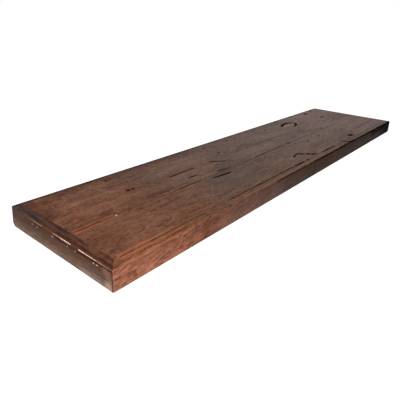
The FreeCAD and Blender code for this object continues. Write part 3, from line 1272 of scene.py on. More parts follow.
EDGE_KNOT = "edge_knot_gap"
CRACKS = {
    "front_check": Groove(
        (
            (360, 112, 0.4),
            (366, 111, 2.4),
            (380, 109, 2.2),
            (392, 107.5, 3.0),
            (404, 106, 3.4),
            (414, 106, 0.6),
        )
    ),
    "upper_check": Groove(((386, 132, 0.2), (400, 130.5, 1.2), (424, 129, 1.3), (443, 126.5, 0.3))),
    "short_check": Groove(
        ((324, 150.5, 0.4), (332, 149.6, 1.9), (342, 148.6, 1.9), (348, 148, 0.4))
    ),
    "slanting_check": Groove(
        ((426, 178, 0.4), (437, 181, 1.6), (446, 176, 2.0), (456, 168, 2.6), (467, 160, 0.7))
    ),
    "knot_gap": Groove(
        (
            (860, 228, 0.6),
            (869, 233, 2.8),
            (880, 238, 3.8),
            (894, 241.5, 4.4),
            (908, 243, 5.0),
            (923, 241, 5.2),
            (938, 234, 3.6),
            (941, 227, 2.4),
            (932, 216, 3.0),
            (921, 210, 3.6),
            (909, 206, 3.0),
            (896, 203, 0.6),
        )
    ),
    "near_knot_arc": Groove(((612, 50, 0.6), (616, 55, 2.0), (626, 58, 2.2), (636, 58, 1.0))),
    "near_knot_stroke": Groove(((638, 60, 1.6), (646, 57, 4.6), (652, 52, 5.2), (654, 48.5, 1.6))),
    "near_knot_second": Groove(((661, 42, 1.8), (667, 37, 5.0), (669, 31, 4.6), (670, 25, 1.6))),
    "near_knot_curl": Groove(((676, 31, 1.0), (682, 30, 2.4), (684, 26, 2.0), (682, 23, 0.8))),
    EDGE_KNOT: Groove(
        (
            (846, 26, 0.6),
            (846, 20, 3.4),
            (848, 14, 4.4),
            (853, 8, 4.6),
            (860, 3, 4.6),
            (869, -3, 3.2),
        )
    ),
}

HOLES = (
    (1096, 197, 6.4),
    (1098, 264, 6.4),
    (1160, 276, 5.4),
    (930, 30, 7.4),
    (893, 275, 3.6),
    (856, 99, 3.2),
    (975, 77, 3.0),
    (769, 92, 2.8),
    (1104, 52, 2.2),
    (976, 126, 2.2),
    (506, 210, 2.4),
    (506, 260, 2.6),
    (607, 262, 2.8),
    (545, 184, 1.8),
    (436, 260, 2.2),
    (672, 238, 2.4),
    (788, 247, 2.8),
    (128, 201, 1.5),
    (140, 240, 1.3),
)

HOLE_RIM = (2.1, 1.35, 2.0)  # how far the stain reaches along, back and down, in radii
HOLE_RIM_STRENGTH = 2.2
CRACK_RIM_GAIN, CRACK_RIM_SPREAD = 1.25, 0.9  # its reach: a gain on half the gap, and a spread
CRACK_RIM_STRENGTH = 1.8
LEAST_STAINED_HOLE = 1.6
LEAST_STAINED_CRACK = 1.0


def dark_rims(front: float, back: float) -> list[Mark]:
    """The dark stain round the holes and cracks of one plank of the top.

    Args:
        front: How far back the plank's front edge lies.
        back: How far back its back edge lies.

    Returns:
        A mark round each, but for the smallest.
    """
    marks: list[Mark] = [
        Patch((along, place), tuple(radius * reach for reach in HOLE_RIM), HOLE_RIM_STRENGTH)
        for along, place, radius in HOLES
        if front < place < back and radius > LEAST_STAINED_HOLE
    ]
    for crack in CRACKS.values():
        for start, end in zip(crack.points, crack.points[1:]):
            half = (start[2] + end[2]) / 2
            if half > LEAST_STAINED_CRACK and front < (start[1] + end[1]) / 2 < back:
                reach = half * CRACK_RIM_GAIN + CRACK_RIM_SPREAD
                marks.append(Line(start[:2], end[:2], reach, CRACK_RIM_STRENGTH))
    return marks


# The boards


def dress(board: bpy.types.Object, finish: StainedWood, slot: str, node: str) -> None:
    """Finish a wooden board and let it stand for its node.

    Args:
        board: The board.
        finish: Its finish.
        slot: Not used.
        node: The node that it replaces.
    """
    paint(board, finish.build())
    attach(board, "shelf")
    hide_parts(node)


@dataclass
class PlankLayer:
    """The three planks of one layer and their finishes by place."""

    layer: Layer
    finishes: dict[str, StainedWood]
    slot: str
    section_spacing: float = 0.012
    wave_length: float = 0.07
    wave_depth: float = 0.0005
    flat_rim: float = 0.0001

    def build(self) -> list[bpy.types.Object]:
        """Make the layer's planks.

        Returns:
            The planks, shaped and dressed.
        """
        planks = []
        for place, finish in self.finishes.items():
            node = f"{self.layer.name.lower()}_plank_{place}"
            plank = self.shape(node)
            dress(plank, finish, self.slot, node)
            planks.append(plank)
        return planks

    def shape(self, node: str) -> bpy.types.Object:
        """One plank, its face gently uneven.

        Args:
            node: The plank's node.

        Returns:
            The plank.
        """
        low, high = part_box(node)
        plank = block(f"{node}_wood", low, high)
        crosscut(plank, 0, self.section_spacing)
        crosscut(plank, 1, self.section_spacing)
        face = self.layer.value * SIZES.layer

        def on_face(place: Vector) -> bool:
            """Whether a place is on the plank's open face, and off its long rims."""
            inside = low.y + self.flat_rim < place.y < high.y - self.flat_rim
            return inside and abs(place.z - face) < EXACT

        erode(plank, on_face, self.wave_length, self.wave_depth)
        return plank


@dataclass
class Border:
    """The mitred border: the front edge board and the two end boards."""

    finishes: dict[str, StainedWood]
    slot: str
    overcut: float = 0.006
    section_spacing: float = 0.008
    corner_rounding: float = 0.0022
    top_rounding: float = 0.0036
    top_fullness: float = 0.42
    bottom_rounding: float = 0.0012
    heel_rounding: float = 0.0105
    back_rounding: float = 0.0055
    foot_rounding: float = 0.009
    arris_wear: float = 0.0007
    arris_wave: float = 0.03
    worn_reach: float = 0.003528

    def build(self) -> list[bpy.types.Object]:
        """Make the border's boards.

        Returns:
            The boards, shaped and dressed.
        """
        outline = self.sanded_outline()
        boards = []
        for node, finish in self.finishes.items():
            board = self.blank(node)
            combine(board, outline, "INTERSECT")
            dress(board, finish, self.slot, node)
            boards.append(board)
        bpy.data.objects.remove(outline)
        return boards

    def sanded_outline(self) -> bpy.types.Object:
        """The shelf's outer form, rounded and then worn along its edges.

        Returns:
            A block of the whole shelf's form.
        """
        front, top = -SIZES.depth, SIZES.layer
        form = block("sanded_outline", (-END_X, front, -top), (END_X, 0.0, top))

        def upright(y: float) -> EdgeTest:
            """A test for the upright edges at one depth."""
            on_side = lies_on(y=y)
            return lambda a, b: on_side(a, b) and abs(a.z - b.z) > CLEAR

        def outer(z: float) -> EdgeTest:
            """A test for the edges round the top or the bottom, but for the back one."""
            on_face = lies_on(z=z)
            return lambda a, b: on_face(a, b) and min(a.y, b.y) < -CLEAR

        ease(form, lies_on(y=0.0, z=-top), self.heel_rounding, segments=5)
        ease(form, upright(0.0), self.back_rounding, segments=4)
        ease(form, lies_on(x=END_X, z=-top), self.foot_rounding, segments=4)
        ease(form, upright(front), self.corner_rounding, segments=4)
        ease(form, outer(top), self.top_rounding, segments=6, fullness=self.top_fullness)
        ease(form, outer(-top), self.bottom_rounding, segments=3)
        crosscut(form, 0, self.section_spacing)
        crosscut(form, 1, self.section_spacing)

        def on_arris(place: Vector) -> bool:
            """Whether a place is on the front's upper arris, between the mitres."""
            between_mitres = abs(place.x) < END_X - SIZES.border
            return between_mitres and max(place.y - front, top - place.z) < self.worn_reach

        erode(form, on_arris, self.arris_wave, self.arris_wear)
        return form

    def blank(self, node: str) -> bpy.types.Object:
        """One board before sanding, larger than the outline on its outer sides and mitred.

        Args:
            node: The board's node.

        Returns:
            The blank.
        """
        low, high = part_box(node)
        spare = Vector((self.overcut,) * 3)
        low, high = low - spare, high + spare
        inner_front = SIZES.border - SIZES.depth
        inner_end = END_X - SIZES.border
        if node == "front_edge_board":
            high.y = inner_front
            cuts = [(side.value * inner_end, side.value, 1.0) for side in Side]
        elif node == "left_end_board":
            high.x = -inner_end
            cuts = [(-inner_end, 1.0, -1.0)]
        else:
            low.x = inner_end
            cuts = [(inner_end, -1.0, -1.0)]
        blank = block(f"{node}_wood", low, high)
        for along, away_x, away_y in cuts:
            away = Vector((away_x, away_y, 0.0)).normalized()
            saw(blank, Vector((along, inner_front, 0.0)), away)
        return blank


@dataclass
class Openings:
    """What is bored, let in and broken out of the glued-up boards."""

    rod_places: tuple[float, ...] = (-0.4572, -0.1524, 0.1524, 0.4572)
    socket_radius: float = 0.00665
    socket_depth: float = 0.21555
    screw_places: tuple[float, ...] = (-0.4064, -0.2032, 0.2032, 0.4064)
    pocket_radius: float = 0.0095
    pocket_depth: float = 0.01065
    recess_half_length: float = 0.5338
    recess_half_height: float = 0.0131
    recess_depth: float = 0.00665
    recess_corner: float = 0.00675
    brad_radius: float = 0.00115
    brad_depth: float = 0.0014
    brad_reach: float = 0.004
    sunk: float = 0.0015
    overrun: float = 0.005
    holes_seed: int = 11
    hole_length: tuple[float, float] = (0.9, 1.25)
    hole_width: tuple[float, float] = (0.85, 1.05)
    hole_depth: float = 1.7

    def cut(self, pieces: dict[str, bpy.types.Object]) -> None:
        """Cut every opening into the boards that it meets.

        Args:
            pieces: The boards, by the node that each stands for.
        """
        planks = [name for name in pieces if "plank" in name]
        tops = [name for name in planks if name.startswith("top")]
        backs = ["top_plank_back", "bottom_plank_back"]
        self.each(pieces, backs, self.recess())
        sockets = self.bores("rod_socket", self.rod_places, self.socket_depth, self.socket_radius)
        self.each(pieces, planks, sockets)
        pockets = self.bores(
            "screw_pocket", self.screw_places, self.pocket_depth, self.pocket_radius
        )
        self.each(pieces, backs, pockets)
        for seam in SEAMS:
            self.each(pieces, seam.boards, seam.groove().cutter("seam"))
        for name, crack in CRACKS.items():
            holed = [*tops, "front_edge_board"] if name == EDGE_KNOT else tops
            self.each(pieces, holed, crack.cutter(name))
        self.each(pieces, tops, self.holes())
        for side in Side:
            end = side.name.lower()
            nodes = [f"{end}_end_brads", f"{end}_mitre_pins"]
            bores = self.brad_bores(nodes, 0, side.value * END_X, -side.value)
            self.each(pieces, [f"{end}_end_board"], bores)
        bores = self.brad_bores(["front_edge_brads"], 1, -SIZES.depth, 1)
        self.each(pieces, ["front_edge_board"], bores)

    def each(
        self, pieces: dict[str, bpy.types.Object], names: Sequence[str], cutter: bpy.types.Object
    ) -> None:
        """Use a cutter on some boards, and then drop it.

        Args:
            pieces: The boards, by node.
            names: The nodes of those to cut. Boards out of its reach are skipped.
            cutter: The closed shape to take out.
        """
        for name in names:
            if boxes_meet(pieces[name], cutter):
                combine(pieces[name], cutter, "DIFFERENCE")
        bpy.data.objects.remove(cutter)

    def recess(self) -> bpy.types.Object:
        """The rebate in the back for the bracket's plate.

        Returns:
            Its cutter.
        """
        form = block(
            "recess",
            (-self.recess_half_length, -self.recess_depth, -self.recess_half_height),
            (self.recess_half_length, self.overrun, self.recess_half_height),
        )
        ease(
            form,
            lambda a, b: abs(a.y - b.y) > self.recess_depth / 2,
            self.recess_corner,
            segments=5,
        )
        return form

    def bores(
        self, name: str, places: Sequence[float], depth: float, radius: float
    ) -> bpy.types.Object:
        """Round bores straight in from the back, as one cutter.

        Args:
            name: The cutter's name.
            places: Where each bore stands along the shelf.
            depth: How deep they are.
            radius: Their radius.

        Returns:
            The cutter.
        """
        pegs = [
            peg(name, Vector((x, self.overrun, 0)), Vector((x, -depth, 0)), radius) for x in places
        ]
        return join(name, pegs)

    def holes(self) -> bpy.types.Object:
        """The old nail and worm holes in the top, each a small oval.

        Returns:
            Their cutter.
        """
        chance = random.Random(self.holes_seed)
        forms = []
        for along, back, radius in HOLES:
            clear_choice()
            bpy.ops.mesh.primitive_uv_sphere_add(
                segments=14,
                ring_count=8,
                radius=radius * MM,
                location=SIZES.at((along, back)),
                scale=(
                    chance.uniform(*self.hole_length),
                    chance.uniform(*self.hole_width),
                    self.hole_depth,
                ),
            )
            forms.append(settle(bpy.context.object, "hole"))
        return join("holes", forms)

    def brad_bores(
        self, nodes: Sequence[str], axis: int, face: float, inward: int
    ) -> bpy.types.Object:
        """Short bores over every brad of some nodes.

        Args:
            nodes: The brads' nodes.
            axis: The axis that they run along.
            face: Where the board's face is on that axis.
            inward: The sign of the direction they were driven.

        Returns:
            The bores as one cutter.
        """
        bores = []
        for start in self.brad_heads(nodes, axis, face):
            end = start.copy()
            start[axis] -= inward * self.overrun
            end[axis] += inward * self.brad_depth
            bores.append(peg("brad_bore", start, end, self.brad_radius, sides=16))
        return join("brad_bores", bores)

    def brad_heads(self, nodes: Sequence[str], axis: int, face: float) -> list[Vector]:
        """The middle of each brad's head.

        Args:
            nodes: The brads' nodes.
            axis: The axis that they run along.
            face: Where the board's face is on that axis.

        Returns:
            The heads' middles on the face.
        """
        rims: list[list[Vector]] = []
        for node in nodes:
            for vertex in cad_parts[node].data.vertices:
                spot = vertex.co.copy()
                if abs(spot[axis] - face) > self.sunk:
                    continue
                spot[axis] = face
                for rim in rims:
                    if (rim[0] - spot).length < self.brad_reach:
                        rim.append(spot)
                        break
                else:
                    rims.append([spot])
        heads = []
        for rim in rims:
            low = Vector([min(spot[k] for spot in rim) for k in range(3)])
            high = Vector([max(spot[k] for spot in rim) for k in range(3)])
            heads.append((low + high) / 2)
        return heads


@dataclass
class CadPieces:
    """Pieces that keep the shape of their nodes and only get a finish."""

    finishes: dict[str, Metal]

    def build(self) -> None:
        """Give each node its finish, and build each finish once."""
        built: dict[str, bpy.types.Material] = {}
        for node, finish in self.finishes.items():
            if finish.name not in built:
                built[finish.name] = finish.build()
            paint(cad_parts[node], built[finish.name])
            log.info("%s: %s", node, finish.name)


# The studio


@dataclass(frozen=True)
class SoftBox:
    """A rectangular lamp: its place, what it points at, its sides in metres, its watts."""

    name: str
    place: Place
    target: Place
    width: float
    height: float
    power: float
    colour: Colour
    shows_in_gloss: bool = True

    def hang(self) -> None:
        """Add the lamp, out of the camera's sight."""
        data = bpy.data.lights.new(self.name, "AREA")
        data.shape = "RECTANGLE"
        data.size, data.size_y = self.width, self.height
        data.energy = self.power
        data.color = self.colour
        lamp = bpy.data.objects.new(self.name, data)
        bpy.context.scene.collection.objects.link(lamp)
        lamp.location = self.place
        aim = Vector(self.target) - Vector(self.place)
        lamp.rotation_euler = aim.to_track_quat("-Z", "Y").to_euler()
        lamp.visible_camera = False
        lamp.visible_glossy = self.shows_in_gloss


LAMPS = (
    SoftBox("key", (-0.85, -0.8, 0.36), (-0.45, -0.2, 0.0), 0.3, 0.3, 7.0, (1.0, 0.92, 0.84)),
    SoftBox(
        "side", (-1.86, 1.52, 1.10), (-0.61, -0.22, 0.02), 0.45, 1.3, 24.0, (1.0, 0.82, 0.72), False
    ),
    SoftBox("edge", (-2.08, 1.66, 0.27), (-0.61, -0.16, 0.02), 0.6, 0.6, 15.0, (1.0, 0.72, 0.60)),
)


@dataclass
class Studio:
    """The floor, lamps, world and camera."""

    floor_level: float = -1.6
    floor_half: float = 20.0
    floor_grey: float = 0.7
    floor_glow: float = 0.85
    front_light: float = 0.3
    back_light: float = 0.38
    light_turn: tuple[float, float] = (-0.7, 0.7)
    gloss_rise: tuple[float, float] = (0.345, 0.44)
    gloss_dimming: float = 0.83
    eye: Place = (-0.88985, -0.66812, 0.34143)
    ahead: Place = (0.71915, 0.59821, -0.3535)
    upward: Place = (0.25302, 0.24837, 0.93504)
    sensor: float = 36.0
    lens: float = 36.244
    shift: float = -0.075
    nearest: float = 0.01

    def build(self) -> None:
        """Set everything up round the shelf."""
        self.floor()
        self.world()
        for lamp in LAMPS:
            lamp.hang()
        self.camera()

    def floor(self) -> None:
        """A plain pale floor, far below as under a shelf on a wall."""
        clear_choice()
        bpy.ops.mesh.primitive_plane_add(
            size=self.floor_half * 2, location=(0.0, 0.0, self.floor_level)
        )
        floor = settle(bpy.context.object, "studio_floor")
        material, lay, both = new_material("pale floor", "AddShader")
        grey = lay.node("BsdfDiffuse", {"Color": (self.floor_grey,) * 3})
        strength = lay.math("MULTIPLY", self.sees_background(lay), self.floor_glow)
        glow = lay.node("Emission", {"Color": (1.0, 1.0, 1.0), "Strength": strength})
        lay.feed(both.inputs[0], grey.outputs[0])
        lay.feed(both.inputs[1], glow.outputs[0])
        paint(floor, material)
        floor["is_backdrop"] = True

    def world(self) -> None:
        """Even light from all round, white to the camera and dimmer high up in a gloss."""
        world = bpy.data.worlds.new("studio")
        bpy.context.scene.world = world
        world.use_nodes = True
        lay = Wiring(world.node_tree)
        output = lay.node("OutputWorld")
        facing = lay.node("SeparateXYZ", {0: lay.node("TexCoord").outputs["Generated"]}).outputs
        level = lay.ramp(facing[1], *self.light_turn, self.front_light, self.back_light)
        glossy = lay.node("LightPath").outputs["Is Glossy Ray"]
        height = lay.ramp(facing[2], *self.gloss_rise, 0.0, self.gloss_dimming)
        shown = lay.math("SUBTRACT", 1.0, lay.math("MULTIPLY", glossy, height))
        seen = self.sees_background(lay)
        strength = lay.math("MULTIPLY_ADD", seen, lay.math("SUBTRACT", shown, level), level)
        shine = lay.node("Background", {"Color": (1.0, 1.0, 1.0), "Strength": strength})
        lay.feed(output.inputs["Surface"], shine.outputs[0])

    def sees_background(self, lay: Wiring) -> bpy.types.NodeSocket:
        """Whether a ray shows the background, straight, in a gloss or through glass.

        Args:
            lay: What lays the nodes.

        Returns:
            1 where it does, else 0.
        """
        rays = lay.node("LightPath").outputs
        seen = lay.math("MAXIMUM", rays["Is Camera Ray"], rays["Is Transmission Ray"])
        return lay.math("MAXIMUM", seen, rays["Is Glossy Ray"])

    def camera(self) -> None:
        """The camera, where the photograph was taken from."""
        data = bpy.data.cameras.new("camera")
        data.sensor_width = self.sensor
        data.lens = self.lens
        data.shift_y = self.shift
        data.clip_start = self.nearest
        camera = bpy.data.objects.new("camera", data)
        bpy.context.scene.collection.objects.link(camera)
        ahead = Vector(self.ahead).normalized()
        right = ahead.cross(Vector(self.upward)).normalized()
        up = right.cross(ahead)
        turn = Matrix((right, up, -ahead)).transposed()
        camera.matrix_world = Matrix.Translation(Vector(self.eye)) @ turn.to_4x4()
        bpy.context.scene.camera = camera


# The finishes of this shelf


def top_tones(near: float) -> Palette:
    """The tones of the top.

    Args:
        near: How light a plank is near the left end, next to the front plank.

    Returns:
        The palette.
    """
    return Palette(
        (
            Stop(-0.55, tuple(near * channel for channel in (0.143, 0.0585, 0.0315)), 0.56),
            Stop(-0.33, (0.135, 0.0605, 0.0300)),
            Stop(-0.08, (0.122, 0.0555, 0.0275)),
            Stop(0.20, (0.124, 0.0545, 0.0275)),
            Stop(0.45, (0.163, 0.0655, 0.0360)),
        )
    )


TOP_FINISHES = {
    "front": StainedWood(
        name="stained front plank",
        sides=top_tones(1.0),
        pith=(0.0, -0.205, -0.045),
        polished=(
            Line((0, 72), (120, 72), 200.0, -0.23),
            Patch((430, 95), (90, 38), 0.14),
            Line((480, 34), (740, 34), 24.0, -0.1),
        ),
        marks={
            Tint.WORN: (
                Line((22, 95), (80, 88), 2.2, 0.35),
                Line((22, 51), (85, 51), 2.2, 0.35),
                Line((85, 51), (118, 58), 2.2, 0.35),
                Line((28, 23), (140, 24), 4.2, 0.75),
                Line((60, 22), (112, 23), 3.0, 0.9),
                Line((140, 23), (225, 23), 2.6, 0.4),
                Line((24, 119), (118, 118.5), 4.2, 0.6),
                Line((24, 120), (62, 120), 3.4, 0.9),
                Patch((230, 38), (90, 24), 0.2),
                Line((130, 104), (320, 104), 22.0, 0.15),
            ),
            Tint.PALE: (Patch((107, 123.8), (2.8, 2.6), 1.0),),
            Tint.BUFF: (
                Line((681, 60), (672, 52), 3.0, 0.8),
                Patch((700, 30), (9, 9), 0.8),
                Line((150, 118), (300, 117.5), 2.2, 0.5),
                Line((262, 117), (316, 117), 2.6, 0.5),
                Patch((352, 103), (13, 8), 0.75),
                Ring((342, 66), (20, 8), 1.4, 0.55),
                Line((330, 90), (302, 72), 1.6, 0.5),
                Line((302, 72), (291, 54), 1.6, 0.6),
                Line((291, 54), (273, 48), 1.6, 0.7),
                Line((273, 48), (292, 39), 1.6, 0.55),
                Line((292, 39), (345, 31), 1.6, 0.4),
                Line((518, 78), (532, 90), 1.8, 0.5),
                Line((532, 90), (580, 103), 1.8, 0.4),
                Line((92, 47), (112, 51), 1.8, 0.6),
                Line((112, 51), (121, 58), 2.0, 0.75),
                Line((166, 47), (179, 54), 2.4, 0.9),
                Line((136, 37), (166, 41), 1.4, 0.5),
                Patch((790, 38), (120, 26), 0.28),
                Patch((900, 74), (50, 26), 0.14),
            ),
            Tint.SMOKE: (Patch((372, 80), (90, 60), 0.8),),
            Tint.UMBER: (
                Line((92, 50), (110, 53), 1.4, 0.5),
                Line((126, 42), (140, 45), 1.6, 0.6),
                Patch((218, 106), (7, 4), 0.5),
                Line((196, 52), (212, 50), 1.6, 0.6),
                Line((156, 92), (170, 92), 2.4, 0.7),
                Patch((48, 70), (32, 60), 0.16),
            ),
            Tint.RUST: (
                Line((26, 18), (222, 18), 1.7, 0.9),
                Line((292, 20), (545, 21), 2.4, 0.75),
                Line((262, 122), (330, 122), 2.2, 0.7),
                Patch((60, 84), (50, 28), 0.3),
            ),
            Tint.BLACK: dark_rims(FRONT_JOINT, MIDDLE_SEAM),
        },
    ),
    "middle": StainedWood(
        name="stained middle plank",
        sides=top_tones(1.21),
        pith=(0.0, -0.14, -0.06),
        seed=(3.1, 1.7, 0.4),
        polished=(
            Line((0, 154), (120, 154), 200.0, -0.23),
            Line((400, 166), (860, 166), 20.0, 0.06),
        ),
        marks={
            Tint.WORN: (
                Line((22, 130), (104, 129.5), 3.6, 0.7),
                Patch((62, 160), (34, 26), 0.28),
                Line((118, 140), (127, 176), 8.0, 0.3),
                Line((300, 170), (440, 168), 16.0, 0.14),
            ),
            Tint.PALE: (Patch((107, 125.2), (2.8, 2.6), 1.0),),
            Tint.BUFF: (Line((560, 166), (850, 166), 16.0, 0.14),),
            Tint.SMOKE: (
                Patch((500, 175), (70, 46), 0.6),
                Patch((400, 140), (70, 24), 0.4),
            ),
            Tint.UMBER: (
                Line((150, 138), (260, 138), 10.0, 0.3),
                Patch((104, 145), (26, 12), 0.3),
                Patch((175, 148), (60, 16), 0.25),
            ),
            Tint.RUST: (
                Line((26, 125), (118, 125), 1.6, 0.9),
                Line((126, 124.5), (154, 124.5), 2.4, 0.6),
                Line((292, 181), (378, 180), 3.2, 0.6),
                Patch((57, 164), (8, 5), 0.5),
                Patch((57, 154), (5, 4), 0.5),
                Patch((145, 163), (4.5, 4), 0.6),
            ),
            Tint.BLACK: dark_rims(MIDDLE_SEAM, BACK_SEAM),
        },
    ),
    "back": StainedWood(
        name="stained back plank",
        sides=top_tones(1.34),
        pith=(0.0, -0.03, -0.05),
        seed=(7.3, 0.9, 2.2),
        polished=(
            Line((0, 234), (120, 234), 200.0, -0.17),
            Line((700, 235), (1219, 235), 80.0, 0.05),
        ),
        marks={
            Tint.WORN: (
                Patch((110, 190), (60, 24), 0.12),
                Line((62, 252), (60, 282), 3.0, 0.3),
                Patch((420, 205), (60, 30), 0.12),
                Patch((176, 203), (84, 24), 0.26),
                Line((240, 262), (520, 262), 18.0, 0.13),
            ),
            Tint.PALE: (Patch((49, 229), (3, 3.4), 0.25),),
            Tint.BUFF: (
                Line((874, 228), (905, 234), 3.4, 0.8),
                Patch((893, 222), (24, 12), 0.9),
                Line((1080, 194), (1086, 182), 4.5, 1.0),
                Line((1082, 261), (1088, 249), 4.5, 0.9),
                Patch((690, 262), (70, 20), 0.22),
                Line((640, 202), (850, 202), 24.0, 0.2),
                Line((1010, 240), (1190, 240), 60.0, 0.12),
            ),
            Tint.UMBER: (
                # Darker along the back edge and towards the left back corner.
                Line((19, 273), (460, 275), 15.0, 0.25),
                Line((19, 200), (19, 286), 32.0, 0.5),
                Patch((86, 204), (3, 3), 0.6),
                Patch((66, 199), (5, 3), 0.5),
                Patch((50, 188), (22, 5), 0.4),
                Line((168, 229), (186, 229.5), 2.2, 0.7),
                Line((203, 229), (218, 229), 2.0, 0.6),
                Line((166, 222), (179, 215), 2.0, 0.6),
                Patch((44, 244), (34, 60), 0.3),
            ),
            Tint.POOLED: (
                Patch((191, 264), (7, 8), 0.7),
                Patch((201, 265), (7, 7), 0.7),
                Patch((191, 192), (8, 9), 0.9),
                Patch((201, 192), (7, 7), 0.9),
            ),
            Tint.RUST: (Patch((140, 240), (3, 4), 0.7),),
            Tint.SEAM: (
                # Painted shade along the back edge.
                Line((10, 286), (470, 286), 10.0, 0.75),
                Line((450, 286), (1200, 286), 6.5, 0.8),
                Patch((190, 264), (4.5, 6), 0.6),
                Patch((202, 265), (4.5, 5), 0.6),
                Patch((190, 193), (5.5, 7), 0.95),
                Patch((202, 192), (5, 5), 0.8),
            ),
            Tint.BLACK: (
                *dark_rims(BACK_SEAM, SHELF_BACK),
                Patch((128, 201), (2.5, 4.5), 0.7),
            ),
        },
    ),
}

UNDER = Palette((Stop(0.0, (0.090, 0.044, 0.027), 0.4),))

BOTTOM_FINISHES = {
    place: StainedWood(
        name=f"underside {place} plank",
        sides=UNDER,
        low=(-FAR, -FAR, -SIZES.layer),
        high=(FAR, FAR, FAR),
        pith=pith,
        seed=seed,
        roughness=0.6,
        coat=0.0,
    )
    for place, pith, seed in (
        ("front", (0.0, -0.23, 0.05), (1.0, 5.0, 2.0)),
        ("middle", (0.0, -0.12, 0.06), (4.0, 2.0, 6.0)),
        ("back", (0.0, -0.05, 0.045), (8.0, 3.0, 1.0)),
    )
}

# How far back each brad's pale filler shows on the left end, and how strongly
BRAD_HEADS = (
    (34.5, 1.0),
    (42.9, 0.8),
    (88, 0.7),
    (109.5, 0.9),
    (151, 0.85),
    (196.9, 0.6),
    (211, 0.4),
)

